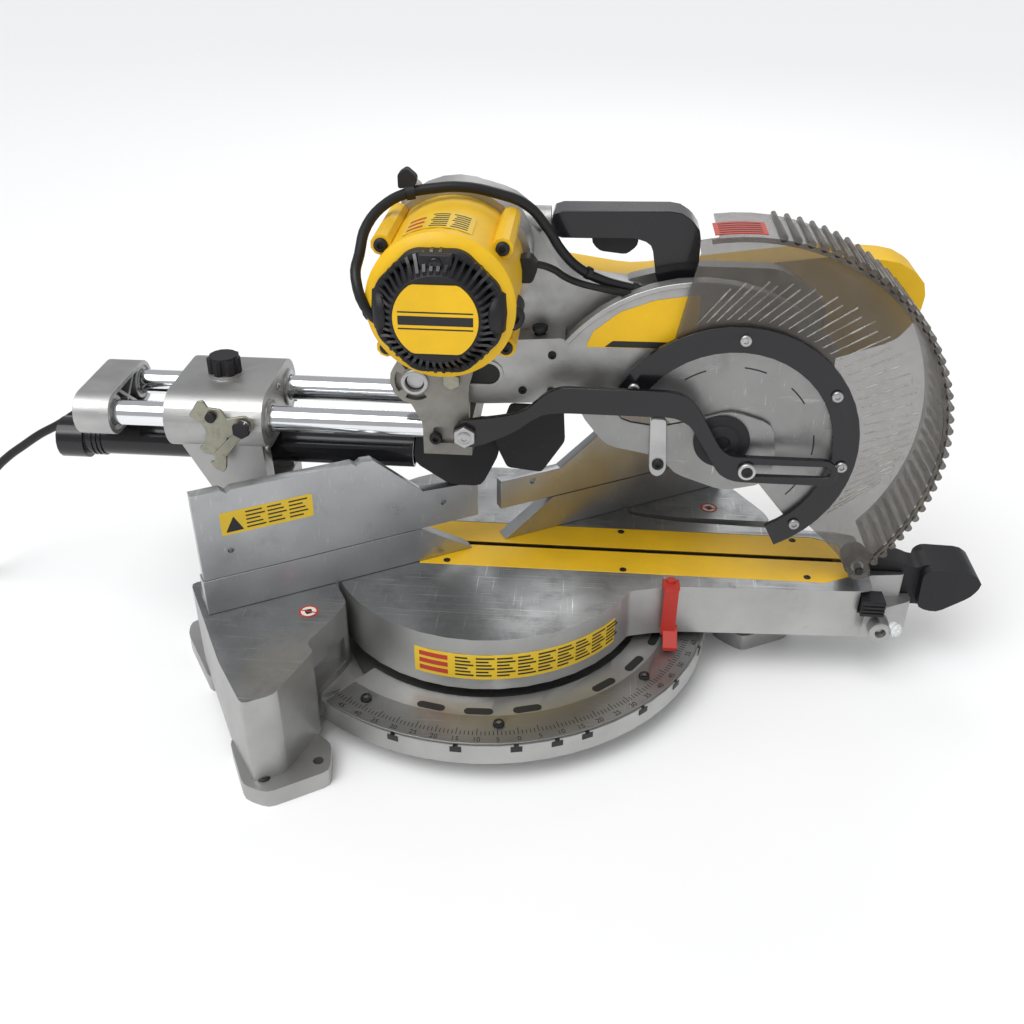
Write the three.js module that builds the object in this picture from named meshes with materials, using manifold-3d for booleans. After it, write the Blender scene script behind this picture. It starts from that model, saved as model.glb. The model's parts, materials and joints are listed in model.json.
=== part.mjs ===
// Sliding compound miter saw, 10 inch class, head locked down and table turned 60 degrees right.
// Millimetres, +Z up. The origin is on the miter axis, on the face that the saw stands on.
// +X runs along the rails and the table arm to the miter handle, and -Y is the motor side.
import * as THREE from 'three';
import { mergeVertices } from 'three/addons/utils/BufferGeometryUtils.js';
import Module from 'manifold-3d';

const wasm = await Module();
wasm.setup();

// ---- driving dimensions -------------------------------------------------------------------
const GAP = 0.4;                       // clearance between neighbouring pieces
const MITER_TURN = THREE.MathUtils.degToRad(30);   // base fence line, seen from the arm
const TABLE_Z = 95;                    // height of the cutting table
const TABLE_R = 136.3;                 // turntable disc
const SKIRT_Z = 45.5;                  // underside of the turntable skirt
const RING_R = 195;                    // outer radius of the miter ring
const RING_Z = 40;                     // top of the miter ring
const WING_END = 248;                  // half length of the base along the fence
const FENCE_SPLIT_Z = 127.5;           // joint between fixed and sliding fence
const FENCE_TOP_Z = 204;
const RAIL_Y = 29.5;                   // rails sit this far each side of the arm line
const RAIL_Z = 225.5;
const RAIL_R = 10.4;
const HOUSING = [-253, -174];          // rail housing, rear and front face
const HOUSING_R = 24;
const CAP = [-329.5, -300];            // rear end cap, rear and front face
const CAP_R = 18;
const DUCT_Z = 186;                    // dust duct, below the rails
const PIVOT = [-50.8, 273.6];          // head pivot, x and z
const LEVER = [-12.3, 234.4];          // guard lever pivot, x and z
const ARBOR = [190, 225];              // arbor axis, x and z
const MOTOR = [-18, 365];              // motor axis, x and z
const MOTOR_PULLEY_R = 8;
const ARBOR_PULLEY_R = 12;
const GUARD_R = 164;                   // lower guard, over its rim
const ROLLER = [310, 112.6];           // guard roller, x and z
const HANDLE_PIN = [335, 58];          // miter handle pivot, x and z
const LATCH_BOLT = [-186.6, 232.4];    // rail latch pivot, x and z
const BRUSH_FRONT = [27, 358];
const BRUSH_REAR = [-63, 358];
const LOCK_PIN = [-20, 250];           // lock-down pin, x and z
const BRACKET_BOLT = [-22.4, 277.1];
const GUARD_PIN = [204, 214];          // pin that works in the lever's slot
const CORD_R = 3.8;
const COIL = { x: -625, y: -5, mid: 42, half: 12.2, top: 31 };

// ---- solids ---------------------------------------------------------------------------------
function solid(geometry) {
  geometry.deleteAttribute('normal');
  geometry.deleteAttribute('uv');
  const merged = mergeVertices(geometry, 1e-4);
  const mesh = new wasm.Mesh({
    numProp: 3,
    vertProperties: new Float32Array(merged.attributes.position.array),
    triVerts: new Uint32Array(merged.index.array),
  });
  return new wasm.Manifold(mesh);
}

function toGeometry(manifold) {
  const mesh = manifold.getMesh();
  const geometry = new THREE.BufferGeometry();
  geometry.setAttribute('position', new THREE.BufferAttribute(mesh.vertProperties, 3));
  geometry.setIndex(new THREE.BufferAttribute(mesh.triVerts, 1));
  geometry.computeVertexNormals();
  return geometry;
}

function join(...parts) {
  return parts.reduce((sum, part) => sum.add(part));
}

function cut(body, ...tools) {
  return tools.reduce((rest, tool) => rest.subtract(tool), body);
}

function box(x0, x1, y0, y1, z0, z1) {
  const block = new THREE.BoxGeometry(x1 - x0, y1 - y0, z1 - z0);
  return solid(block.translate((x0 + x1) / 2, (y0 + y1) / 2, (z0 + z1) / 2));
}

function rodX(radius, x0, x1, y, z, sides = 16) {
  const rod = new THREE.CylinderGeometry(radius, radius, x1 - x0, sides);
  return solid(rod.rotateZ(-Math.PI / 2).translate((x0 + x1) / 2, y, z));
}

function rodY(radius, [x, z], y0, y1, sides = 16) {
  const rod = new THREE.CylinderGeometry(radius, radius, y1 - y0, sides);
  return solid(rod.translate(x, (y0 + y1) / 2, z));
}

function rodZ(radius, x, y, z0, z1, sides = 16) {
  const rod = new THREE.CylinderGeometry(radius, radius, z1 - z0, sides);
  return solid(rod.rotateX(Math.PI / 2).translate(x, y, (z0 + z1) / 2));
}

// A closed outline through the given corners, each corner rounded where there is room for it.
function outline(points, radius = 0) {
  const shape = new THREE.Shape();
  const corners = points.map(([x, y]) => new THREE.Vector2(x, y));
  corners.forEach((corner, i) => {
    const before = corners[(i + corners.length - 1) % corners.length];
    const after = corners[(i + 1) % corners.length];
    const room = 0.45 * Math.min(corner.distanceTo(before), corner.distanceTo(after));
    const reach = Math.min(radius, room);
    const start = corner.clone().add(before.clone().sub(corner).setLength(reach || 1e-9));
    const end = corner.clone().add(after.clone().sub(corner).setLength(reach || 1e-9));
    if (i === 0) shape.moveTo(start.x, start.y);
    else shape.lineTo(start.x, start.y);
    if (reach > 0) shape.quadraticCurveTo(corner.x, corner.y, end.x, end.y);
  });
  shape.closePath();
  return shape;
}

// Part of a flat ring, between two radii and two angles in degrees.
function band([x, y], inner, outer, from, to) {
  const shape = new THREE.Shape();
  const start = THREE.MathUtils.degToRad(from);
  const end = THREE.MathUtils.degToRad(to);
  shape.absarc(x, y, outer, start, end, false);
  shape.absarc(x, y, inner, end, start, true);
  shape.closePath();
  return shape;
}

// The outline of a band drawn tight around two circles.
function wrap([x1, y1], r1, [x2, y2], r2) {
  const along = Math.atan2(y2 - y1, x2 - x1);
  const swing = Math.acos((r1 - r2) / Math.hypot(x2 - x1, y2 - y1));
  const shape = new THREE.Shape();
  shape.absarc(x1, y1, r1, along + swing, along - swing + 2 * Math.PI, false);
  shape.absarc(x2, y2, r2, along - swing, along + swing, false);
  shape.closePath();
  return shape;
}

function extrude(shape, depth, curveSegments) {
  return new THREE.ExtrudeGeometry(shape, { depth, bevelEnabled: false, curveSegments });
}

// The outline is drawn in x and y, and stands from z0 up to z1.
function prismZ(shape, z0, z1, curveSegments = 2) {
  return solid(extrude(shape, z1 - z0, curveSegments).translate(0, 0, z0));
}

// The outline is drawn in x and z, and runs from y0 to y1.
function prismY(shape, y0, y1, curveSegments = 2) {
  return solid(extrude(shape, y1 - y0, curveSegments).rotateX(Math.PI / 2).translate(0, y1, 0));
}

// The outline is drawn in y and z, and runs from x0 to x1.
function prismX(shape, x0, x1, curveSegments = 2) {
  const turn = new THREE.Matrix4().set(0, 0, 1, x0, 1, 0, 0, 0, 0, 1, 0, 0, 0, 0, 0, 1);
  return solid(extrude(shape, x1 - x0, curveSegments).applyMatrix4(turn));
}

// Turned about Z: the profile lists radius and height, from the axis back to the axis.
function turned(profile, sides = 24) {
  const points = profile.map(([radius, height]) => new THREE.Vector2(radius, height));
  return solid(new THREE.LatheGeometry(points, sides).rotateX(Math.PI / 2));
}

function bothSides(make) {
  return join(make(-1), make(1));
}

// ---- finishes -------------------------------------------------------------------------------
const finish = (color, roughness, metalness) =>
  new THREE.MeshStandardMaterial({ color, roughness, metalness });
const CAST = finish(0xa4a5a3, 0.55, 0.8);
const MACHINED = finish(0xb9bab8, 0.35, 0.9);
const ROUGH_CAST = finish(0x8d8980, 0.7, 0.7);
const CHROME = finish(0xd8dadb, 0.12, 1.0);
const STEEL = finish(0x9a9b9c, 0.4, 0.95);
const ZINC = finish(0xc2bd9a, 0.4, 0.8);
const YELLOW = finish(0xf2b90c, 0.45, 0.0);
const BLACK = finish(0x1b1c1e, 0.5, 0.0);
const RUBBER = finish(0x242424, 0.85, 0.0);
const RED = finish(0xb92f26, 0.45, 0.0);
const SMOKE = finish(0x8f8a80, 0.2, 0.0);
const COPPER = finish(0xb06a3a, 0.4, 0.9);

const saw = new THREE.Group();
const base = new THREE.Group();
base.rotation.z = MITER_TURN;
saw.add(base);

function place(name, body, material, group = saw) {
  const mesh = new THREE.Mesh(toGeometry(body), material);
  mesh.name = name;
  group.add(mesh);
}

// ---- base, drawn in its own axes: +X along the fence, +Y to the back -------------------------
const mirrorX = (points, side) => points.map(([x, y]) => [side * x, y]);
const SLOT_ANGLES = [-41.8, -27.7, -13.5, 12, 26.1, 41];
const DETENT_ANGLES = [-47, -32.2, -18.5, -9.1, -1.7, 14.2, 27, 42];

function ringPoint(radius, angle) {
  const turn = THREE.MathUtils.degToRad(angle);
  return [radius * Math.sin(turn), -radius * Math.cos(turn)];
}

function baseWing(side) {
  const front = side < 0
    ? [[141, -30], [155, -43], [186, -67], [183, -78], [224, -114], [WING_END, -114]]
    : [[141, -6], [157, -19], [176, -34], [WING_END, -76]];
  const top = [[141, 2], ...front, [WING_END + 4, -60], [WING_END + 2, 50], [208, 50], [204, 28],
    [141, 28]];
  const block = prismZ(outline(mirrorX(top, side), 5), 14, TABLE_Z);
  const hollow = mirrorX([[150, -4], [180, -24], [242, -56], [242, 40], [214, 40], [210, 20],
    [150, 20]], side);
  const frontFoot = mirrorX([[182, -98], [192, -126], [242, -128], [256, -112], [254, -60],
    [200, -60]], side);
  const rearFoot = mirrorX([[196, 20], [200, 96], [212, 108], [250, 106], [256, 90], [252, 20]], side);
  const shell = cut(block, prismZ(outline(hollow), 8, 87));
  return join(shell, prismZ(outline(frontFoot, 6), 0, 16), prismZ(outline(rearFoot, 6), 0, 16));
}

function baseCasting() {
  const floor = rodZ(150, 0, 0, 8, 24, 32);
  const shape = band([0, 0], 139.5, RING_R, -157.5, -22.5);
  const ring = prismZ(shape, 22, RING_Z, 12);
  const rearWall = prismZ(band([0, 0], 139.5, 150, 20, 160), 20, RING_Z, 10);
  const hub = rodZ(26, 0, 0, 0, 30, 20);
  const bridge = (side) => box(side > 0 ? 138 : -200, side > 0 ? 200 : -138, -60, 27, 14, RING_Z - 6);
  let body = join(floor, ring, rearWall, hub, bothSides(bridge), bothSides(baseWing));
  body = cut(body, rodZ(6.6, 0, 0, 4, 31));
  SLOT_ANGLES.forEach((angle) => {
    const slot = box(-9, 9, -159, -153, 26, 50).rotate([0, 0, angle]);
    body = body.subtract(slot);
  });
  DETENT_ANGLES.forEach((angle) => {
    body = body.subtract(box(-2, 2, -200, -190, 34, 50).rotate([0, 0, angle]));
  });
  body = body.subtract(prismZ(band([0, 0], 152, 192, 191, 208), RING_Z + 1, 66));
  bothWingHoles().forEach(([x, y]) => {
    body = body.subtract(rodZ(4.2, x, y, -1, 20, 12));
  });
  return body;
}

function bothWingHoles() {
  return [[-197, -112], [197, -112], [-226, 88], [226, 88]];
}

function miterScale() {
  const plate = prismZ(band([0, 0], 163, 193.6, -156.5, -23.5), RING_Z + GAP, RING_Z + 1.8, 12);
  const screws = [-59, -22.2, 22.4, 57].map((angle) => {
    const [x, y] = ringPoint(173, angle);
    return rodZ(3.6, x, y, RING_Z + 1, RING_Z + 4.2, 10);
  });
  return join(plate, ...screws);
}

function fixedFence(side) {
  const face = mirrorX([[WING_END - 2, TABLE_Z + GAP], [16, TABLE_Z + GAP], [62.6, FENCE_SPLIT_Z - GAP],
    [WING_END - 2, FENCE_SPLIT_Z - GAP]], side);
  const plate = prismY(outline(face), 0, 13);
  const foot = mirrorX([[144, 12], [WING_END - 2, 12], [WING_END - 2, 27], [144, 27]], side);
  const flange = prismZ(outline(foot, 3), TABLE_Z + GAP, TABLE_Z + 9);
  const guide = mirrorX([[110, 100], [235, 100], [235, 146], [110, 146]], side);
  const stud = rodY(5.6, [side * 214, 136], 5, 30, 16);
  return cut(join(plate, flange, prismY(outline(guide, 5), 9.6, 15)), stud);
}

function slidingFence(side) {
  const bottom = FENCE_SPLIT_Z + GAP;
  const left = [[10.4, bottom], [WING_END - 3, bottom], [WING_END - 3, FENCE_TOP_Z + 1],
    [222, FENCE_TOP_Z + 1], [218, FENCE_TOP_Z - 3], [214, FENCE_TOP_Z], [118, FENCE_TOP_Z - 1],
    [114, FENCE_TOP_Z - 4], [110, FENCE_TOP_Z - 1], [101, 202.5], [60, 163.6], [10.4, 160.6]];
  const right = [[11.4, bottom], [WING_END - 3, bottom], [WING_END - 3, FENCE_TOP_Z],
    [105.7, FENCE_TOP_Z], [105.7, 179], [69, 154.8], [11.4, 154.8]];
  const face = prismY(outline(mirrorX(side < 0 ? left : right, side)), 0, 9.2);
  const holes = [[side * 221, 150.7], [side * 42, 148.4]].map((at) => rodY(2.6, at, -1, 10, 12));
  return cut(face, ...holes);
}

function fenceKnob(side) {
  const stud = rodY(5, [side * 214, 136], 9.7, 34, 16);
  const grip = rodY(14, [side * 214, 136], 20, 40, 14);
  return join(stud, grip);
}

function buildBase() {
  place('base_casting', baseCasting(), CAST, base);
  place('miter_scale', miterScale(), STEEL, base);
  [[-1, 'left'], [1, 'right']].forEach(([side, hand]) => {
    place(`fence_fixed_${hand}`, fixedFence(side), MACHINED, base);
    place(`fence_sliding_${hand}`, slidingFence(side), MACHINED, base);
    place(`fence_knob_${hand}`, fenceKnob(side), BLACK, base);
  });
}

// ---- turntable ------------------------------------------------------------------------------
const PLATE_NEAR = [[-57, -34.5], [286, -34.5], [308, -24], [308, -2.2], [-57, -2.2]];

function armOutline() {
  const near = [[100, -86], [115, -74], [123, -61], [144, -55], [168, -51], [311, -45], [325, -40],
    [325, -21], [356, -17]];
  const far = near.map(([x, y]) => [x, -y]).reverse();
  return outline([...near, ...far], 3);
}

function turntable() {
  const disc = rodZ(TABLE_R, 0, 0, SKIRT_Z, TABLE_Z, 40);
  const hollow = cut(rodZ(TABLE_R - 8, 0, 0, SKIRT_Z - 1, 86, 24), box(-150, 150, -33, 33, 0, 100));
  const hub = rodZ(24, 0, 0, 30.4, 62, 20);
  const arm = prismZ(armOutline(), 48, TABLE_Z);
  const nose = prismZ(outline([[308, -41], [330, -41], [364, -24], [364, 24], [330, 41], [308, 41]], 4),
    45, 73);
  const rearLug = cut(rodX(41, -172, -142, 0, TABLE_Z, 24), box(-180, -100, -60, 60, 0, SKIRT_Z));
  const neck = box(-146, -118, -36, 36, SKIRT_Z, 94);
  const boss = rodY(9.5, HANDLE_PIN, -50, -36, 20);
  const body = join(cut(disc, hollow), hub, arm, nose, rearLug, neck, boss);
  const trough = box(-40, 300, -26, 26, 62, 92);
  const plateBed = join(...[1, -1].map((side) => {
    const bed = PLATE_NEAR.map(([x, y]) => [x + (x > 0 ? GAP : -GAP), side * (y < -3 ? y - GAP : 1)]);
    return prismZ(outline(bed), TABLE_Z - 4.1, TABLE_Z + 1);
  }));
  const handleSlot = join(box(316, 370, -13, 13, 44, 100), rodY(13, HANDLE_PIN, -13, 13, 20));
  const tabPocket = box(314.6, 336.4, -60, -30, 72, 93);
  const pinBores = join(rodZ(6.6, 0, 0, 20, 54), rodZ(12.5, 0, 0, 53.6, 63),
    rodX(6.6, -173, -120, 0, TABLE_Z, 16),
    rodY(4.4, HANDLE_PIN, -60, 45, 16));
  return cut(body, trough, plateBed, handleSlot, tabPocket, pinBores);
}

function kerfPlate(side) {
  const plate = prismZ(outline(PLATE_NEAR.map(([x, y]) => [x, side * y])), TABLE_Z - 3.7, TABLE_Z);
  const bevel = outline([[0, 91], [side * -6.6, 91], [side * -2.0, 95.6], [0, 95.6]]);
  return cut(plate, prismX(bevel, -60, 310));
}

function miterPointer() {
  const cap = box(150, 164, -58, -46, TABLE_Z + GAP, TABLE_Z + 4);
  const web = prismX(outline([[-57, 99], [-62, 99], [-62, 52], [-57, 50]]), 151, 163);
  const foot = prismX(outline([[-57, 50], [-57, 60], [-74, 48], [-74, 44.5]]), 153, 165);
  const screw = rodZ(4, 157, -50, TABLE_Z + 3, TABLE_Z + 6.5, 12);
  return join(cap, web, foot, screw);
}

function miterHandle() {
  const profile = outline([[327, 72], [326, 104], [332, 107], [352, 104], [366, 98], [374, 103],
    [410, 102], [421, 92], [414, 78], [388, 60], [370, 62], [350, 60], [344, 48], [328, 48]], 6);
  const neck = prismY(profile, -11.5, 11.5);
  const paddle = prismY(outline([[370, 98], [376, 103], [410, 102], [421, 92], [414, 78], [388, 60],
    [371, 64]], 6), -21, 21);
  return cut(join(neck, paddle), rodY(4.4, HANDLE_PIN, -20, 20, 16));
}

function detentTab() {
  const body = box(316, 335, -50, -33, 73.2, 88);
  const ribs = [76, 79.5, 83, 86.5].map((z) => box(316, 335, -51.5, -49, z - 0.9, z + 0.9));
  return join(body, ...ribs);
}

function buildTable() {
  place('turntable', turntable(), MACHINED);
  place('kerf_plate_near', kerfPlate(1), YELLOW);
  place('kerf_plate_far', kerfPlate(-1), YELLOW);
  place('miter_pointer', miterPointer(), RED);
  place('miter_pivot_bolt', join(rodZ(6, 0, 0, 5, 53, 16), rodZ(11, 0, 0, 54, 60, 6),
    rodZ(6, 0, 0, 52, 55, 16)), STEEL);
  place('miter_lock_handle', miterHandle(), BLACK);
  place('miter_handle_pin', rodY(4, HANDLE_PIN, -46, 38, 16), STEEL);
  place('miter_detent_tab', detentTab(), BLACK);
}

// ---- bevel post and rail housing --------------------------------------------------------------
function stadium(radius) {
  return wrap([-RAIL_Y, RAIL_Z], radius, [RAIL_Y, RAIL_Z], radius);
}

function bevelHousing() {
  const tunnel = prismX(stadium(HOUSING_R), ...HOUSING, 7);
  const side = outline([[-246, 212], [-178, 212], [-175, 120], [-175, 62], [-207, 62], [-209, 125],
    [-216, 152]], 4);
  const cheek = (hand) => prismY(side, hand > 0 ? 27 : -46, hand > 0 ? 46 : -27);
  const foot = box(-207, -175, -46, 46, 62, 150);
  const knobSeat = rodZ(14, -216, 0, 240, 252, 20);
  const bores = [-1, 1].map((hand) => rodX(14.4, -260, -160, hand * RAIL_Y, RAIL_Z, 18));
  const pivotBore = rodX(6.6, -220, -170, 0, TABLE_Z, 16);
  const knobBore = rodZ(3.6, -216, 0, 215, 256, 12);
  const body = join(tunnel, bothSides(cheek), foot, knobSeat);
  return cut(body, ...bores, pivotBore, knobBore, rodY(3.6, LATCH_BOLT, -60, -44.5, 12));
}

function railBushing(hand) {
  const x0 = HOUSING[0] + 1;
  const x1 = HOUSING[1] - 1;
  const sleeve = rodX(14, x0, x1, hand * RAIL_Y, RAIL_Z, 18);
  return cut(sleeve, rodX(RAIL_R + 0.5, x0 - 1, x1 + 1, hand * RAIL_Y, RAIL_Z, 18));
}

function lobedKnob(x, z, radius, height) {
  const grip = rodZ(radius - 2, x, 0, z, z + height, 14);
  const lobes = Array.from({ length: 7 }, (_, i) => {
    const turn = (2 * Math.PI * i) / 7;
    const reach = radius - 3.5;
    return rodZ(4, x + reach * Math.cos(turn), reach * Math.sin(turn), z, z + height - 1.5, 8);
  });
  return join(grip, ...lobes);
}

function stopLatch() {
  const hook = outline([[-216, 253], [-221, 252], [-229, 240], [-220, 234], [-217, 226], [-221, 214],
    [-225, 212], [-222, 207], [-213, 205], [-214, 200], [-218, 199], [-214, 193], [-208, 190],
    [-205, 194], [-201, 222], [-186, 223], [-180, 228], [-179, 236], [-184, 241], [-190, 240],
    [-199, 238], [-203, 246], [-213, 247]], 1.2);
  return cut(prismY(hook, -58.5, -56), rodY(4.2, LATCH_BOLT, -60, -50, 12));
}

function bevelLever() {
  const hub = rodX(13, -226, -208, 0, TABLE_Z, 20);
  const arm = wrap([0, TABLE_Z], 9, [62, 118], 7);
  return cut(join(hub, prismX(arm, -224, -214, 6)), rodX(6.6, -230, -200, 0, TABLE_Z, 16));
}

function buildBevel() {
  place('bevel_housing', bevelHousing(), CAST);
  place('rail_bushing_near', railBushing(-1), STEEL);
  place('rail_bushing_far', railBushing(1), STEEL);
  const knob = join(lobedKnob(-216, 252.4, 13.5, 14), rodZ(3.2, -216, 0, 238, 253, 12));
  place('rail_lock_knob', knob, BLACK);
  place('bevel_pivot_bolt', join(rodX(6, -228, -124, 0, TABLE_Z, 16),
    rodX(10, -235, -228, 0, TABLE_Z, 6)), STEEL);
  place('bevel_lock_lever', bevelLever(), BLACK);
  place('stop_latch', stopLatch(), ZINC);
  place('latch_bolt', join(rodY(3.2, LATCH_BOLT, -62, -45, 12), rodY(6.5, LATCH_BOLT, -66, -60, 12)),
    STEEL);
}

// ---- rails and what slides with them ------------------------------------------------------------
function endCap() {
  const shell = cut(prismX(stadium(CAP_R), ...CAP, 6), prismX(stadium(CAP_R - 4), CAP[0] + 4,
    CAP[1] + 1, 6));
  const socket = (hand) => rodX(14.5, CAP[0] + 3, CAP[1] - 1.5, hand * RAIL_Y, RAIL_Z, 14);
  const ribs = [-40, 40].map((tilt) => {
    const rib = box(CAP[0] + 3, CAP[1] - 2, -26, 26, -1.5, 1.5);
    return rib.rotate([tilt, 0, 0]).translate([0, 0, RAIL_Z]);
  });
  const inside = prismX(stadium(CAP_R - 1), ...CAP, 6);
  const body = join(shell, bothSides(socket), join(...ribs).intersect(inside));
  const bores = [-1, 1].map((hand) => rodX(RAIL_R + GAP, CAP[0] + 7, -280, hand * RAIL_Y, RAIL_Z));
  return cut(body, ...bores);
}

function bracketCheek() {
  const plate = join(
    prismY(wrap(PIVOT, 19.3, BRACKET_BOLT, 13), 0, 9, 4),
    prismY(outline([[-66, 285], [-58, 292.5], [-4, 291], [-10, 270], [-10, 212], [-46, 212],
      [-46, 238], [-58, 262]], 4), 0, 9));
  return cut(plate, rodY(7.4, PIVOT, -1, 10, 20), rodY(4, BRACKET_BOLT, -1, 10, 12));
}

function pivotBracket() {
  const near = bracketCheek().translate([0, -52, 0]);
  const far = bracketCheek().translate([0, 43, 0]);
  const block = box(-46, -8, -52, 52, 212, 241);
  const bores = [-1, 1].map((hand) => rodX(RAIL_R + GAP, -50, -20, hand * RAIL_Y, RAIL_Z));
  const boltBore = rodY(4, BRACKET_BOLT, -53, 53, 12);
  const pinBore = rodY(5.4, LOCK_PIN, 42, 53, 12);
  return cut(join(near, far, block), ...bores, boltBore, pinBore, rodY(4.6, LEVER, -60, -40, 12));
}

function dustDuct() {
  const tube = rodX(14.5, -366, -62, 0, DUCT_Z, 18);
  const collar = rodX(17.5, -366, -343, 0, DUCT_Z - 1, 18);
  return cut(join(tube, collar), rodX(12, -367, -61, 0, DUCT_Z, 18));
}

function dustBoot() {
  const shape = outline([[-58, 210], [8, 210], [11, 198], [-4, 166], [-30, 166], [-60, 186]], 6);
  const body = prismY(shape, -21, 21);
  const mouth = outline([[-54, 202], [2, 202], [4, 196], [-8, 160], [-26, 160], [-56, 192]], 4);
  return cut(body, prismY(mouth, -17, 17), box(-70, -50, -10, 10, 180, 197));
}

function buildSlide() {
  [[-1, 'near'], [1, 'far']].forEach(([hand, name]) => {
    place(`rail_${name}`, rodX(RAIL_R, CAP[0] + 8, -20.5, hand * RAIL_Y, RAIL_Z), CHROME);
  });
  place('rail_end_cap', endCap(), CAST);
  place('pivot_bracket', pivotBracket(), ROUGH_CAST);
  place('pivot_shaft', rodY(6.9, PIVOT, -50, 50, 20), STEEL);
  place('head_return_spring', cut(rodY(14.5, PIVOT, 21, 42, 24), rodY(7.6, PIVOT, 20, 43, 20)), STEEL);
  place('bracket_bolt', join(rodY(3.6, BRACKET_BOLT, -54, -44, 12),
    rodY(7, BRACKET_BOLT, -58, -52.4, 6)), ZINC);
  place('lock_down_pin', join(rodY(5, LOCK_PIN, 40, 62, 16), rodY(9, LOCK_PIN, 56, 66, 16)), BLACK);
  place('lever_nut', join(rodY(4.2, LEVER, -66, -44, 12), rodY(9, LEVER, -66, -61, 6)), STEEL);
  place('dust_duct', dustDuct(), BLACK);
  place('dust_boot', dustBoot(), RUBBER);
}

// ---- head: arm casting, guards, motor and handle --------------------------------------------
function guardLever() {
  const arm = outline([[-22, 240], [-14, 246], [20, 252], [34, 257], [50, 273], [60, 277], [146, 277],
    [160, 270], [182, 232], [190, 225], [264, 225], [273, 219], [273, 207], [264, 203], [196, 203],
    [184, 208], [158, 250], [146, 256], [62, 256], [46, 254], [26, 238], [2, 226], [-10, 223],
    [-20, 226]], 7);
  const slot = wrap([203, 214], 4.9, [263, 214.6], 4.9);
  return cut(prismY(arm, -60.5, -56, 2), prismY(slot, -62, -54, 3), rodY(4.6, LEVER, -62, -54, 12));
}

function armCasting() {
  const hub = rodY(17, PIVOT, -42.2, 19.6, 18);
  const arm = prismY(outline([[-60, 264], [-50, 256], [-5, 249], [62, 253], [62, 306], [8, 302],
    [-34, 306], [-60, 288]], 4), -35, 19.6);
  const gearCase = prismY(outline([[-58, 294], [-74, 350], [-66, 380], [-46, 399], [-12, 406],
    [20, 397], [40, 378], [56, 350], [78, 335], [126, 332], [140, 300], [120, 262], [40, 252],
    [-30, 256]], 10), -12, 34);
  const motorSeat = rodY(54, MOTOR, -46, -12, 28);
  const arch = rodY(128, [162.6, 224.4], -35, -22, 40).intersect(box(61, 262, -40, -20, 253, 400));
  const archWeb = box(61, 108, -26, 19, 253, 300);
  const farPlate = prismY(outline([[100, 256], [100, 332], [150, 346], [225, 346], [262, 320],
    [262, 232], [240, 207], [150, 207], [134, 236]], 10), 20, 34);
  const arborBoss = rodY(23, ARBOR, -6, 34, 18);
  const clipLug = prismY(outline([[-60, 388], [-55, 418], [-45, 420], [-36, 404], [-40, 388]], 3), -38, -30);
  const handleNeck = rodX(9.2, 8, 47.4, 0, 385.5, 18);
  const body = join(hub, arm, gearCase, motorSeat, arch, archWeb, farPlate, arborBoss, clipLug, handleNeck);
  const arborBore = rodY(9.4, ARBOR, -10, 40, 20);
  const motorBore = rodY(14, MOTOR, -50, 40, 20);
  const ringHole = rodY(86, ARBOR, -40, -20, 32);
  const springRoom = rodY(17.6, PIVOT, 19.9, 40, 24);
  const shaftBore = rodY(7.4, PIVOT, -50, 40, 20);
  const cheekRoom = box(-80, 12, 42.6, 60, 200, 295);
  const gripRoom = box(47.5, 70, -14, 14, 370, 400);
  return cut(body, ringHole, arborBore, motorBore, springRoom, shaftBore, cheekRoom, gripRoom,
    rodZ(4.6, 42, -24, 291, 310, 12), rodY(5.4, LOCK_PIN, 30, 44, 12));
}

function beltCover() {
  const shape = outline([[-62, 352], [-44, 384], [-18, 392], [14, 384], [40, 340], [110, 330],
    [180, 340], [262, 352], [316, 350], [338, 334], [339, 312], [326, 286], [262, 262], [236, 206],
    [166, 206], [120, 254], [-40, 322]], 12);
  const cavity = prismY(wrap(MOTOR, 13, ARBOR, 14.8), 37, 62, 5);
  const cover = cut(prismY(shape, 34.4, 70), cavity);
  return cut(cover, rodY(14, MOTOR, 30, 40, 20), rodY(9.4, ARBOR, 30, 40, 20));
}

function motorCan() {
  const can = cut(rodY(49, MOTOR, -132, -46.4, 30), rodY(45.5, MOTOR, -133, -50, 30),
    rodY(14, MOTOR, -60, -40, 20));
  const ears = [42, 138, 222, 322].map((angle) => {
    const turn = THREE.MathUtils.degToRad(angle);
    const at = [MOTOR[0] + 53 * Math.cos(turn), MOTOR[1] + 53 * Math.sin(turn)];
    return rodY(7, at, -118, -46.4, 10);
  });
  return cut(join(can, ...ears), rodY(46.5, MOTOR, -134, -129, 30), rodY(45.5, MOTOR, -133, -50, 30),
    rodY(8.6, BRUSH_REAR, -130, -100, 16), rodY(8.6, BRUSH_FRONT, -130, -100, 16));
}

function motorCap() {
  const rim = rodY(45.8, MOTOR, -142, -129.4, 30);
  const nose = rodY(36, MOTOR, -155, -141, 24);
  const bowl = rodY(41, MOTOR, -139, -120, 24);
  const bearing = rodY(12, MOTOR, -141, -124, 20);
  return cut(join(cut(join(rim, nose), bowl), bearing), rodY(5.4, MOTOR, -138, -100, 16));
}

function brushCap([x, z]) {
  return rodY(8.2, [x, z], -126, -104, 16);
}

function dHandle() {
  const path = outline([[48, 395], [142, 397], [157, 384], [157, 343], [128, 339], [122, 372],
    [112, 376], [48, 375]], 8);
  return cut(prismY(path, -13, 13), box(77, 113, -6.6, 6.6, 370, 388));
}

function triggerBody() {
  return prismY(outline([[78, 381], [112, 381], [112, 369], [104, 362], [84, 364], [78, 370]], 3), -6, 6);
}

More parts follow.
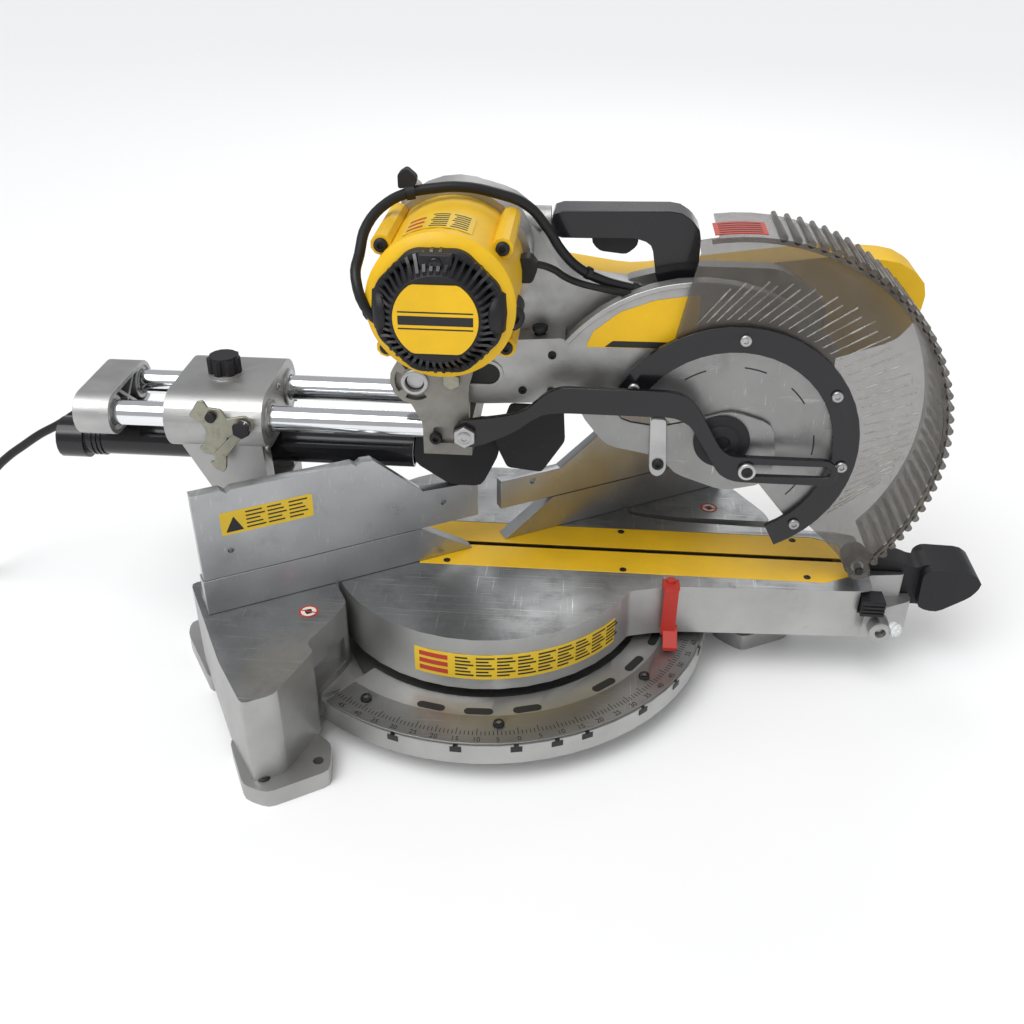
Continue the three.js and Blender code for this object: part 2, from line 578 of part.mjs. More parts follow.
function buildHead() {
  place('guard_lever', guardLever(), BLACK);
  place('arm_casting', armCasting(), CAST);
  place('belt_cover', beltCover(), YELLOW);
  place('motor_can', motorCan(), YELLOW);
  place('motor_end_cap', motorCap(), BLACK);
  place('brush_cap_front', brushCap(BRUSH_FRONT), BLACK);
  place('brush_cap_rear', brushCap(BRUSH_REAR), BLACK);
  place('stator', cut(rodY(45, MOTOR, -100, -68, 24), rodY(31, MOTOR, -101, -67, 24)), STEEL);
  place('armature', join(rodY(5, MOTOR, -136, 56, 12), rodY(28, MOTOR, -98, -72, 16),
    rodY(38, MOTOR, -64, -58, 16), rodY(MOTOR_PULLEY_R, MOTOR, 42, 56, 16)), COPPER);
  place('arbor', join(rodY(7.9, ARBOR, -34, 56, 12), rodY(21.5, ARBOR, -32, -24, 18),
    rodY(ARBOR_PULLEY_R, ARBOR, 42, 56, 16)), STEEL);
  const beltOuter = prismY(wrap(MOTOR, MOTOR_PULLEY_R + 2.3, ARBOR, ARBOR_PULLEY_R + 2.3), 44, 54, 5);
  const beltInner = prismY(wrap(MOTOR, MOTOR_PULLEY_R + GAP, ARBOR, ARBOR_PULLEY_R + GAP), 43, 55, 5);
  place('drive_belt', cut(beltOuter, beltInner), RUBBER);
  place('main_handle', dHandle(), BLACK);
  place('trigger', triggerBody(), BLACK);
  place('spindle_lock_button', join(rodZ(4, 42, -24, 297, 308, 12), rodZ(6, 42, -24, 307.4, 311, 12)),
    BLACK);
  place('dust_flap', prismY(outline([[8, 212], [20, 247], [62, 247], [64, 216], [46, 187], [18, 190]], 3),
    -30, -27), BLACK);
}

// ---- lower guard ------------------------------------------------------------------------------
function lowerGuard() {
  const wall = prismY(band(ARBOR, 84, GUARD_R, -44, 103), -41, -38.4, 14);
  const rim = prismY(band(ARBOR, GUARD_R - 3, GUARD_R, -38.5, 98), -41, 18, 14);
  const tip = join(rodY(9, ROLLER, -41, -33, 16), prismY(wrap(ROLLER, 9, [296, 134], 8), -41, -38.4, 4));
  const edge = prismY(outline([[180, 384], [157, 385], [150, 349], [141.5, 306], [143.5, 301], [176, 312]]),
    -41, -38.4);
  return cut(join(wall, rim, tip, edge), rodY(3.4, ROLLER, -50, -10, 12));
}

function guardRing() {
  const ring = prismY(band(ARBOR, 79, 99, -62, 158), -45.5, -41.4, 14);
  const screws = [-48, -8, 32, 88, 148].map((angle) => {
    const turn = THREE.MathUtils.degToRad(angle);
    const at = [ARBOR[0] + 89 * Math.cos(turn), ARBOR[1] + 89 * Math.sin(turn)];
    return rodY(3.6, at, -47, -45, 8);
  });
  return join(ring, ...screws);
}

function guardPlate() {
  return prismY(band(ARBOR, 11, 83.4, -50, 150), -41, -38.6, 12);
}

function arborCover() {
  const plate = outline([[228, 214], [222, 194], [190, 186], [150, 200], [140, 214], [96, 222], [74, 250],
    [74, 270], [92, 270], [106, 244], [136, 240], [160, 246], [190, 256], [222, 246]], 8);
  const post = rodY(5, [84, 260], -44, -35.4, 12);
  const pin = join(rodY(2, GUARD_PIN, -62, -43, 10), rodY(6.8, GUARD_PIN, -64, -61.2, 12));
  return join(prismY(plate, -45, -42), post, pin);
}

function guardRoller() {
  return join(rodY(10.6, ROLLER, -32.4, -12, 20), rodY(3, ROLLER, -43, -10, 12));
}

function buildLowerGuard() {
  place('lower_guard', lowerGuard(), SMOKE);
  place('guard_ring', guardRing(), BLACK);
  place('guard_plate', guardPlate(), STEEL);
  place('arbor_cover', arborCover(), ZINC);
  place('guard_roller', guardRoller(), RUBBER);
}

// ---- cords --------------------------------------------------------------------------------------
const MAINS_ROUTE = [[-360, 20.5, 198.2], [-366, 20.6, 194.1], [-382, 21.5, 183.8], [-402, 24, 172.3],
  [-421, 26, 159.2],
  [-440, 28, 145.5], [-458, 30, 129], [-473, 32, 108], [-484, 33, 84], [-492, 34, 58],
  [-500, 35, 34], [-511, 36, 16], [-528, 37, 6.5], [-550, 37, 4.1], [-568, 37, 4.1], [-585, 37, 4.1]];
const LEAD_ROUTE = [[-71, -134, 371], [-73, -128, 381], [-73, -112, 392], [-71, -92, 405],
  [-60, -74, 415], [-46, -64, 419.5], [-31, -60, 421.5], [-12, -56, 422], [11, -51, 417],
  [32, -44.5, 407.5], [46.5, -38, 389.5], [57, -32, 371.5], [70, -26, 357], [87, -21, 347],
  [104, -18, 341.5], [122, -16.5, 338]];

function cordTube(route, radius, sides, steps) {
  const curve = new THREE.CatmullRomCurve3(route.map((point) => new THREE.Vector3(...point)));
  const section = new THREE.Shape();
  section.absarc(0, 0, radius, 0, 2 * Math.PI, false);
  const tube = new THREE.ExtrudeGeometry(section, { steps, extrudePath: curve, curveSegments: sides });
  return solid(tube);
}

function coilRing() {
  const low = 0.3;
  const inner = COIL.mid - COIL.half;
  const outer = COIL.mid + COIL.half;
  const profile = [[inner, low + 6], [inner + 5, low], [outer - 5, low], [outer, low + 6],
    [outer, COIL.top - 6], [outer - 5, COIL.top], [inner + 5, COIL.top], [inner, COIL.top - 6],
    [inner, low + 6]];
  return turned(profile, 24).translate([COIL.x, COIL.y, 0]);
}

function strainRelief() {
  const length = 41;
  const taper = new THREE.CylinderGeometry(7.5, CORD_R + 0.8, length, 16).translate(0, -length / 2, 0);
  taper.rotateZ(-Math.PI / 2 + 0.595).rotateX(Math.PI / 2).translate(CAP[0] + 4, 20.5, 221.5);
  return solid(taper).subtract(box(CAP[0] - GAP, -300, -30, 60, 190, 250));
}

function powerPlug() {
  const x0 = COIL.x + 34;
  const middle = COIL.y - COIL.mid - 15.6;
  const body = box(x0, x0 + 34, middle - 11, middle + 11, 0.3, 22);
  const prongs = [-6.3, 6.3].map((offset) =>
    box(x0 + 33, x0 + 52, middle + offset - 0.8, middle + offset + 0.8, 10, 16));
  const earth = rodX(2.4, x0 + 33, x0 + 54, middle, 6, 10);
  return join(body, ...prongs, earth);
}

function buildCords() {
  place('motor_lead', cordTube(LEAD_ROUTE, 3.6, 4, 26), BLACK);
  place('cord_strain_relief', strainRelief(), BLACK);
  place('mains_cord', cordTube(MAINS_ROUTE, CORD_R, 4, 26), RUBBER);
  place('mains_cord_coil', coilRing(), RUBBER);
  place('mains_plug', powerPlug(), BLACK);
}

buildBase();
buildTable();
buildBevel();
buildSlide();
buildHead();
buildLowerGuard();
buildCords();

export default saw;
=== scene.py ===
# %% [markdown]
# # A sliding compound miter saw
# The imported model is the frame: every casting, rail and guard already has its place in it.
# This lesson loads it, and then gives each piece its look.

# %% Load the frame
import json
import math
import bmesh
import bpy
from mathutils import Matrix, Vector


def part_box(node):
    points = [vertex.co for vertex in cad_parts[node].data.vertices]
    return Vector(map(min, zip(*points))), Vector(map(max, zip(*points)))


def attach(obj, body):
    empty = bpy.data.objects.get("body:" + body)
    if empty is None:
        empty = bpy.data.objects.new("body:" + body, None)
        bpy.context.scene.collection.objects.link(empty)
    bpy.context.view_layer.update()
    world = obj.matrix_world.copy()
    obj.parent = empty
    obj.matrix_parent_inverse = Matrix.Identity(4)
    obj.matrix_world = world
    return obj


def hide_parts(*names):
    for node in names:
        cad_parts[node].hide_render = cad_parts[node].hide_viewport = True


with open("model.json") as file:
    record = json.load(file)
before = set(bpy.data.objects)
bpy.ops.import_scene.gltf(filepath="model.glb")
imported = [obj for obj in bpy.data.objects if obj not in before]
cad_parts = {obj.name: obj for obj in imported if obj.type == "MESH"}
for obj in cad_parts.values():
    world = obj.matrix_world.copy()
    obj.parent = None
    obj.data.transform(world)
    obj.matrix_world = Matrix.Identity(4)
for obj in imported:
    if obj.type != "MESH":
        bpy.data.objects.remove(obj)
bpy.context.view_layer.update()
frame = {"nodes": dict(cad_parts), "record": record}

# %% [markdown]
# The camera looks from the motor side, a little to the right and from above, as a person
# standing in front of a bench would. Its three axes are written out, because a matrix is
# the plainest way to hold a measured view with a small roll in it.

# %% Camera
MM = 0.001
lens = bpy.data.cameras.new("camera")
lens.lens = 37.81
lens.sensor_width = 36.0
camera = bpy.data.objects.new("camera", lens)
right = Vector((0.997, 0.0776, 0.0065)).normalized()
back = Vector((0.0624, -0.8464, 0.5289)).normalized()
up = back.cross(right).normalized()
right = up.cross(back).normalized()
camera.matrix_world = Matrix((
    (right.x, up.x, back.x, 0.0780),
    (right.y, up.y, back.y, -0.7876),
    (right.z, up.z, back.z, 0.6210),
    (0, 0, 0, 1)))
bpy.context.scene.collection.objects.link(camera)
bpy.context.scene.camera = camera
print("camera", camera.matrix_world.translation)

# %% [markdown]
# Shader maths reads best as plain expressions. A small class wraps one output socket and
# gives it the usual operators, and a second one builds a material around them.

# %% Shader expressions
class Value:
    def __init__(self, look, socket):
        self.look = look
        self.socket = socket

    def maths(self, operation, first, second=0.0, third=0.0):
        return self.look.node("ShaderNodeMath", {"operation": operation}, [first, second, third])

    def __add__(self, other):
        return self.maths("ADD", self, other)

    def __radd__(self, other):
        return self.maths("ADD", other, self)

    def __sub__(self, other):
        return self.maths("SUBTRACT", self, other)

    def __rsub__(self, other):
        return self.maths("SUBTRACT", other, self)

    def __mul__(self, other):
        return self.maths("MULTIPLY", self, other)

    def __rmul__(self, other):
        return self.maths("MULTIPLY", other, self)

    def __truediv__(self, other):
        return self.maths("DIVIDE", self, other)

    def __rtruediv__(self, other):
        return self.maths("DIVIDE", other, self)

    def over(self, limit):
        return self.maths("GREATER_THAN", self, limit)

    def ramp(self, low, high, start=0.0, end=1.0):
        settings = {"clamp": True}
        return self.look.node("ShaderNodeMapRange", settings, [self, low, high, start, end])


class Look:
    """One material: its nodes are made by node(), and given to the surface by surface()."""
    def __init__(self, name):
        self.material = bpy.data.materials.new(name)
        self.material.use_nodes = True
        self.tree = self.material.node_tree
        self.shader = self.tree.nodes["Principled BSDF"]
        self.point = self.node("ShaderNodeTexCoord", {}, {}, "Object")

    def feed(self, socket, value):
        if isinstance(value, Value):
            self.tree.links.new(value.socket, socket)
        else:
            socket.default_value = value

    def node(self, kind, settings, inputs, output=0):
        made = self.tree.nodes.new(kind)
        stops = settings.pop("stops", None)
        for key, value in settings.items():
            setattr(made, key, value)
        if stops:
            ramp = made.color_ramp.elements
            while len(ramp) < len(stops):
                ramp.new(0.5)
            for element, (place, color) in zip(ramp, stops):
                element.position = place
                element.color = (*color, 1)
        pairs = inputs.items() if isinstance(inputs, dict) else enumerate(inputs)
        for key, value in pairs:
            self.feed(made.inputs[key], value)
        return Value(self, made.outputs[output])

    def stretch(self, scale):
        return self.node("ShaderNodeVectorMath", {"operation": "MULTIPLY"}, [self.point, scale])

    def noise(self, scale, detail=3.0, roughness=0.55, stretch=None):
        where = self.stretch(stretch) if stretch else self.point
        inputs = {"Vector": where, "Scale": scale, "Detail": detail, "Roughness": roughness}
        return self.node("ShaderNodeTexNoise", {}, inputs)

    def mix(self, factor, first, second):
        settings = {"data_type": "RGBA"}
        first = first if isinstance(first, Value) else (*first, 1)
        second = second if isinstance(second, Value) else (*second, 1)
        return self.node("ShaderNodeMix", settings, {0: factor, 6: first, 7: second}, 2)

    def parts(self):
        split = self.tree.nodes.new("ShaderNodeSeparateXYZ")
        self.tree.links.new(self.point.socket, split.inputs[0])
        return [Value(self, socket) for socket in split.outputs]

    def bump(self, height, strength, distance=0.001):
        inputs = {"Strength": strength, "Distance": distance, "Height": height}
        return self.node("ShaderNodeBump", {}, inputs)

    def surface(self, **sockets):
        for key, value in sockets.items():
            name = key.replace("_", " ").title().replace("Ior", "IOR")
            if isinstance(value, tuple) and len(value) == 3:
                value = (*value, 1)
            self.feed(self.shader.inputs[name], value)
        return self.material

print("shader helpers ready")

# %% [markdown]
# The castings are die-cast aluminium, blasted to a silver satin: a fine grain in the bump,
# a cloudy grey, and darker smudges where dust has settled. The machined faces are brighter,
# with long scratches that run across them in several directions.

# %% Metal looks
def cast_metal(name, light, dark, grain, roughness):
    look = Look(name)
    clouds = look.noise(14.0, 4.0)
    dust = look.noise(55.0, 5.0, 0.7)
    specks = look.noise(grain, 2.0, 0.6)
    tone = look.mix(clouds.ramp(0.35, 0.7), dark, light)
    tone = look.mix(dust.ramp(0.62, 0.8, 0.0, 0.35), tone, tuple(c * 0.55 for c in dark))
    rough = dust.ramp(0.3, 0.7, roughness - 0.08, roughness + 0.12)
    height = specks + 0.6 * clouds
    return look.surface(base_color=tone, metallic=0.85, roughness=rough,
                        normal=look.bump(height, 0.28, 0.0006))


def scratched_metal(name, light, dark, roughness):
    look = Look(name)
    clouds = look.noise(9.0, 4.0)
    rub = look.noise(30.0, 6.0, 0.75)
    lines_x = look.noise(1.0, 5.0, 0.7, stretch=(9.0, 700.0, 60.0))
    lines_y = look.noise(1.0, 5.0, 0.7, stretch=(520.0, 12.0, 60.0))
    scratch = lines_x.ramp(0.60, 0.72) * rub.ramp(0.35, 0.6) + lines_y.ramp(0.63, 0.75)
    tone = look.mix(clouds.ramp(0.3, 0.7), dark, light)
    tone = look.mix(rub.ramp(0.58, 0.8, 0.0, 0.4), tone, tuple(c * 0.5 for c in dark))
    tone = look.mix(scratch * 0.45, tone, (0.86, 0.87, 0.88))
    rough = (rub.ramp(0.3, 0.75, roughness - 0.06, roughness + 0.16) - scratch * 0.08)
    height = lines_x * 0.5 + lines_y * 0.5 - scratch * 0.6
    return look.surface(base_color=tone, metallic=0.92, roughness=rough,
                        normal=look.bump(height, 0.12, 0.0004))


CAST = cast_metal("satin cast aluminium", (0.52, 0.52, 0.51), (0.36, 0.36, 0.355), 900.0, 0.42)
ROUGH = cast_metal("rough casting", (0.37, 0.355, 0.32), (0.20, 0.195, 0.18), 420.0, 0.56)
MACHINED = scratched_metal("machined aluminium", (0.50, 0.51, 0.52), (0.33, 0.34, 0.35), 0.32)
PLATE = scratched_metal("stainless plate", (0.33, 0.33, 0.325), (0.22, 0.22, 0.215), 0.36)
STEEL = scratched_metal("plain steel", (0.58, 0.58, 0.58), (0.30, 0.30, 0.30), 0.32)


def chrome():
    look = Look("polished rail")
    streaks = look.noise(1.0, 4.0, 0.6, stretch=(10.0, 300.0, 300.0))
    smears = look.noise(18.0, 4.0)
    tone = look.mix(smears.ramp(0.5, 0.8, 0.0, 0.25), (0.83, 0.84, 0.86), (0.5, 0.5, 0.5))
    rough = streaks.ramp(0.4, 0.7, 0.07, 0.16)
    return look.surface(base_color=tone, metallic=1.0, roughness=rough,
                        normal=look.bump(streaks, 0.03, 0.0003))


def zinc():
    look = Look("yellow zinc plate")
    clouds = look.noise(110.0, 4.0)
    fine = look.noise(600.0, 3.0)
    tone = look.node("ShaderNodeValToRGB", {"stops": [
        (0.3, (0.23, 0.225, 0.18)), (0.5, (0.33, 0.32, 0.25)), (0.7, (0.28, 0.285, 0.26))]}, [clouds])
    return look.surface(base_color=tone, metallic=0.9, roughness=clouds.ramp(0.3, 0.7, 0.3, 0.45),
                        normal=look.bump(fine, 0.1, 0.0003))


RAIL = chrome()
ZINC = zinc()
print("metal looks", CAST.name, MACHINED.name, RAIL.name)

# %% [markdown]
# The plastics: glass-filled yellow with a fine texture, black in a matt and in a glossy
# grade, red for the pointer, rubber, and the cable jacket. Handling leaves them dusty in
# patches, so roughness is never even.

# %% Plastic looks
def plastic(name, color, roughness, grain=700.0, strength=0.12, dust=0.15, coat=0.0):
    look = Look(name)
    texture = look.noise(grain, 2.0, 0.5)
    patches = look.noise(22.0, 5.0, 0.65)
    wear = look.noise(140.0, 6.0, 0.75)
    darker = tuple(c * 0.86 for c in color)
    tone = look.mix(patches.ramp(0.35, 0.7), darker, color)
    grey = tuple(0.75 * c + 0.10 for c in color)
    tone = look.mix(wear.ramp(0.6, 0.85, 0.0, dust), tone, grey)
    rough = patches.ramp(0.3, 0.75, roughness - 0.06, roughness + 0.1)
    return look.surface(base_color=tone, roughness=rough, coat_weight=coat,
                        specular_ior_level=0.32,
                        normal=look.bump(texture, strength, 0.0004))


YELLOW = plastic("yellow plastic", (0.83, 0.50, 0.012), 0.42, 620.0, 0.10, 0.12)
BLACK = plastic("black plastic", (0.014, 0.014, 0.016), 0.48, 520.0, 0.22, 0.25)
GLOSS = plastic("glossy black plastic", (0.010, 0.010, 0.012), 0.22, 260.0, 0.04, 0.08, 0.3)
RUBBER = plastic("black rubber", (0.018, 0.018, 0.019), 0.66, 420.0, 0.25, 0.3)
CABLE = plastic("cable jacket", (0.012, 0.012, 0.013), 0.42, 300.0, 0.10, 0.15)
RED = plastic("red plastic", (0.45, 0.030, 0.020), 0.36, 500.0, 0.08, 0.1)
LABEL_YELLOW = plastic("yellow label", (0.78, 0.53, 0.035), 0.40, 200.0, 0.03, 0.1)
PRINT_BLACK = plastic("black print", (0.02, 0.02, 0.02), 0.45, 200.0, 0.03, 0.1)
PRINT_RED = plastic("red print", (0.50, 0.05, 0.03), 0.42, 200.0, 0.03, 0.1)
PRINT_WHITE = plastic("white print", (0.74, 0.72, 0.68), 0.45, 200.0, 0.03, 0.1)
COPPER = plastic("copper winding", (0.42, 0.17, 0.07), 0.40, 900.0, 0.3, 0.1)


def smoked_plastic():
    look = Look("smoked clear plastic")
    haze = look.noise(30.0, 5.0, 0.7)
    scuffs = look.noise(1.0, 5.0, 0.7, stretch=(300.0, 40.0, 60.0))
    tone = look.mix(haze.ramp(0.3, 0.7), (0.060, 0.052, 0.043), (0.12, 0.105, 0.088))
    alpha = haze.ramp(0.35, 0.8, 0.46, 0.56) + scuffs.ramp(0.62, 0.75, 0.0, 0.18)
    return look.surface(base_color=tone, roughness=haze.ramp(0.3, 0.7, 0.10, 0.24), alpha=alpha,
                        coat_weight=0.25, normal=look.bump(scuffs, 0.05, 0.0004))


SMOKED = smoked_plastic()
print("plastic looks", YELLOW.name, BLACK.name, SMOKED.name)

# %% [markdown]
# Most CAD solids already have the right shape, but their edges are knife sharp and their
# round faces are faceted. A copy is merged, its flat faces are joined up, and a small bevel
# catches the light along each edge. It then stands in for the node.

# %% Piece helpers
body_of_node = {node: body for body, nodes in frame["record"]["behaviour"]["bodies"].items()
                for node in nodes}


def put(bm, name, look, body, replaces=(), soft=32, bevel=0.0, segments=2):
    mesh = bpy.data.meshes.new(name)
    bm.to_mesh(mesh)
    bm.free()
    mesh.materials.append(look)
    mesh.shade_smooth()
    mesh.set_sharp_from_angle(angle=math.radians(soft))
    piece = bpy.data.objects.new(name, mesh)
    bpy.context.scene.collection.objects.link(piece)
    if bevel:
        edge = piece.modifiers.new("edge", "BEVEL")
        edge.width = bevel * MM
        edge.segments = segments
        edge.limit_method = "ANGLE"
        edge.angle_limit = math.radians(soft)
    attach(piece, body)
    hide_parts(*replaces)
    return piece


def node_copy(node):
    bm = bmesh.new()
    bm.from_mesh(frame["nodes"][node].data)
    bmesh.ops.remove_doubles(bm, verts=bm.verts, dist=2e-6)
    bmesh.ops.dissolve_limit(bm, angle_limit=math.radians(0.6), verts=bm.verts, edges=bm.edges)
    return bm


def carve(bm, *tools):
    """Cut the tools' shapes out of the first one, with a Boolean modifier on a scratch copy."""
    scratch = []
    for number, source in enumerate([bm, *tools]):
        mesh = bpy.data.meshes.new("scratch")
        source.to_mesh(mesh)
        source.free()
        scratch.append(bpy.data.objects.new(f"scratch{number}", mesh))
        bpy.context.scene.collection.objects.link(scratch[-1])
    for tool in scratch[1:]:
        bite = scratch[0].modifiers.new("bite", "BOOLEAN")
        bite.object = tool
        bite.solver = "EXACT"
    bpy.context.view_layer.update()
    done = scratch[0].evaluated_get(bpy.context.evaluated_depsgraph_get())
    result = bmesh.new()
    result.from_mesh(done.data)
    for item in scratch:
        mesh = item.data
        bpy.data.objects.remove(item)
        bpy.data.meshes.remove(mesh)
    return result


def refine(node, look, bevel=0.5, soft=32, cuts=(), segments=2):
    bm = node_copy(node)
    if cuts:
        bm = carve(bm, *cuts)
        bmesh.ops.remove_doubles(bm, verts=bm.verts, dist=2e-6)
    return put(bm, node + "_piece", look, body_of_node[node], [node],
               soft, bevel, segments)


def slab(points, plane, low, high, radius=0.0, segments=5):
    """An outline in mm, drawn in a plane and pulled from low to high across it."""
    bm = bmesh.new()
    order = {"XY": (0, 1, 2), "XZ": (0, 2, 1), "YZ": (1, 2, 0)}[plane]
    verts = []
    for u, v in points:
        place = [0.0, 0.0, 0.0]
        place[order[0]], place[order[1]], place[order[2]] = u * MM, v * MM, low * MM
        verts.append(bm.verts.new(place))
    face = bm.faces.new(verts)
    if radius:
        bmesh.ops.bevel(bm, geom=verts, offset=radius * MM, segments=segments, profile=0.5,
                        affect="VERTICES", material=-1, clamp_overlap=True)
        face = max(bm.faces, key=lambda one: one.calc_area())
    grown = bmesh.ops.extrude_face_region(bm, geom=[face])
    pull = [0.0, 0.0, 0.0]
    pull[order[2]] = (high - low) * MM
    moved = [v for v in grown["geom"] if isinstance(v, bmesh.types.BMVert)]
    bmesh.ops.translate(bm, verts=moved, vec=pull)
    bmesh.ops.recalc_face_normals(bm, faces=bm.faces)
    return bm


def rod(radius, start, end, sides=40, far_radius=None):
    """A round bar, or a cone, between two points in mm."""
    a, b = Vector(start) * MM, Vector(end) * MM
    bm = bmesh.new()
    far = radius if far_radius is None else far_radius
    turn = (b - a).to_track_quat("Z", "Y").to_matrix().to_4x4()
    bmesh.ops.create_cone(bm, cap_ends=True, segments=sides, radius1=radius * MM,
                          radius2=far * MM, depth=(b - a).length,
                          matrix=Matrix.Translation((a + b) / 2) @ turn)
    return bm


def lathe(profile, start, toward, sides=48):
    """A profile of (radius, distance) pairs in mm, spun round the line that leaves start."""
    bm = bmesh.new()
    verts = [bm.verts.new((r * MM, 0, h * MM)) for r, h in profile]
    edges = [bm.edges.new(pair) for pair in zip(verts, verts[1:])]
    bmesh.ops.spin(bm, geom=verts + edges, cent=(0, 0, 0), axis=(0, 0, 1), dvec=(0, 0, 0),
                   angle=2 * math.pi, steps=sides, use_merge=True)
    bmesh.ops.remove_doubles(bm, verts=bm.verts, dist=1e-6)
    bmesh.ops.recalc_face_normals(bm, faces=bm.faces)
    turn = Vector(toward).to_track_quat("Z", "Y").to_matrix().to_4x4()
    bmesh.ops.transform(bm, matrix=Matrix.Translation(Vector(start) * MM) @ turn, verts=bm.verts)
    return bm


def gather(parts):
    """Several shapes that touch nothing of each other, kept as one mesh."""
    whole = bmesh.new()
    for part in parts:
        mesh = bpy.data.meshes.new("part")
        part.to_mesh(mesh)
        part.free()
        whole.from_mesh(mesh)
        bpy.data.meshes.remove(mesh)
    return whole


def spun(bm, degrees, centre=(0, 0, 0), axis="Z"):
    bmesh.ops.rotate(bm, verts=bm.verts, cent=Vector(centre) * MM,
                     matrix=Matrix.Rotation(math.radians(degrees), 3, axis))
    return bm


def on_circle(centre, radius, degrees):
    angle = math.radians(degrees)
    return centre[0] + radius * math.cos(angle), centre[1] + radius * math.sin(angle)


def arc(centre, radius, start, end, steps):
    return [on_circle(centre, radius, start + (end - start) * i / steps) for i in range(steps + 1)]


print("piece helpers ready")

# %% [markdown]
# The cords come early. The mains lead is one long curve: out of the strain relief, down to the
# floor, and into a neat coil. It winds inward, climbs one row, winds outward over the first row,
# and so on for four rows. The last turn then drops off the outside to the plug.

# %% Mains cord route
def eased(share):
    share = min(max(share, 0.0), 1.0)
    return share * share * (3 - 2 * share)


CORD_D = 0.0076
seen = [Vector(p) * MM for p in (
    (-360, 20.5, 198.2), (-366, 20.6, 194.1), (-382, 21.5, 183.8), (-402, 24, 172.3),
    (-421, 26, 159.2), (-440, 28, 145.5), (-458, 30, 129), (-473, 32, 108), (-484, 33, 84),
    (-492, 34, 58), (-500, 35, 34), (-511, 36, 16), (-528, 37, 6.5), (-550, 37, 4.1),
    (-568, 37, 4.1), (-585, 37.6, 4.1))]
coil_low, coil_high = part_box("mains_cord_coil")
hub = (coil_low + coil_high) / 2
pitch = 0.0080
outer = 0.0497
spirals = [(90, 810, -2), (890, 1610, 2), (1690, 2410, -2), (2490, 3210, 2), (3212, 3330, 1)]
climbs = [810, 1610, 2410]


def reach_at(turn):
    """How many pitches the cord lies outside its first turn, as straight runs."""
    return sum(step * min(max((turn - start) / (end - start), 0), 1) for start, end, step in spirals)


def coil_point(turn):
    out = sum(reach_at(turn + lag) for lag in (-32, -16, 0, 16, 32)) / 5
    height = CORD_D / 2 + 0.0003 + pitch * sum(eased((turn - start) / 80) for start in climbs)
    height -= 0.017 * eased((turn - 3340) / 150)
    reach = outer + pitch * out
    angle = math.radians(turn)
    return Vector((hub.x + reach * math.cos(angle), hub.y + reach * math.sin(angle), height))


wound = [coil_point(turn) for turn in range(90, 3511, 15)]
plug_low, plug_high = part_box("mains_plug")
plug_mouth = Vector((plug_low.x, (plug_low.y + plug_high.y) / 2, wound[-1].z))
lead_out = wound[-1].lerp(plug_mouth, 0.5)
mains_route = seen + wound + [lead_out, plug_mouth]
print("cord points", len(mains_route))


# %% Cord builder
def cord_curve(name, route, diameter, look, body):
    data = bpy.data.curves.new(name, "CURVE")
    data.dimensions = "3D"
    data.resolution_u = 4
    data.bevel_depth = diameter / 2
    data.bevel_resolution = 4
    data.use_fill_caps = True
    spline = data.splines.new("BEZIER")
    spline.bezier_points.add(len(route) - 1)
    for knot, place in zip(spline.bezier_points, route):
        knot.co = place
        knot.handle_left_type = knot.handle_right_type = "AUTO"
    data.materials.append(look)
    piece = bpy.data.objects.new(name, data)
    bpy.context.scene.collection.objects.link(piece)
    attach(piece, body)
    return piece


plug_piece = refine("mains_plug", BLACK, 1.5)
mains = cord_curve("mains_lead", mains_route, CORD_D, CABLE, "rails")
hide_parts("mains_cord", "mains_cord_coil")

# %% [markdown]
# The plain carried-over solids: each one only needs its edges softened and its own finish.

# %% Refined CAD solids
def faced_metal(name, level):
    """Blasted casting, with the flat tops above a level machined bright and scratched."""
    look = Look(name)
    facing = look.node("ShaderNodeTexCoord", {}, {}, "Normal")
    upward = look.node("ShaderNodeSeparateXYZ", {}, [facing], 2)
    height = look.parts()[2]
    top = upward.over(0.97) * height.over(level)
    clouds = look.noise(11.0, 4.0)
    rub = look.noise(36.0, 6.0, 0.75)
    grain = look.noise(900.0, 2.0)
    lines_x = look.noise(1.0, 5.0, 0.7, stretch=(12.0, 620.0, 60.0))
    lines_y = look.noise(1.0, 5.0, 0.7, stretch=(480.0, 14.0, 60.0))
    scratch = lines_x.ramp(0.58, 0.70) * rub.ramp(0.35, 0.6) + lines_y.ramp(0.62, 0.74)
    cast = look.mix(clouds.ramp(0.35, 0.7), (0.36, 0.36, 0.355), (0.50, 0.50, 0.49))
    cast = look.mix(rub.ramp(0.58, 0.8, 0.0, 0.4), cast, (0.20, 0.20, 0.19))
    bright = look.mix(clouds.ramp(0.3, 0.7), (0.22, 0.225, 0.23), (0.40, 0.405, 0.41))
    bright = look.mix(rub.ramp(0.5, 0.72, 0.0, 0.6), bright, (0.15, 0.15, 0.15))
    bright = look.mix(scratch * 0.7, bright, (0.80, 0.81, 0.82))
    tone = look.mix(top, cast, bright)
    rough = top * (rub.ramp(0.3, 0.75, -0.16, 0.02) - scratch * 0.06) + 0.44
    relief = grain * (1 - top) + top * (lines_x * 0.3 + lines_y * 0.3)
    return look.surface(base_color=tone, metallic=0.88, roughness=rough,
                        normal=look.bump(relief, 0.22, 0.0005))


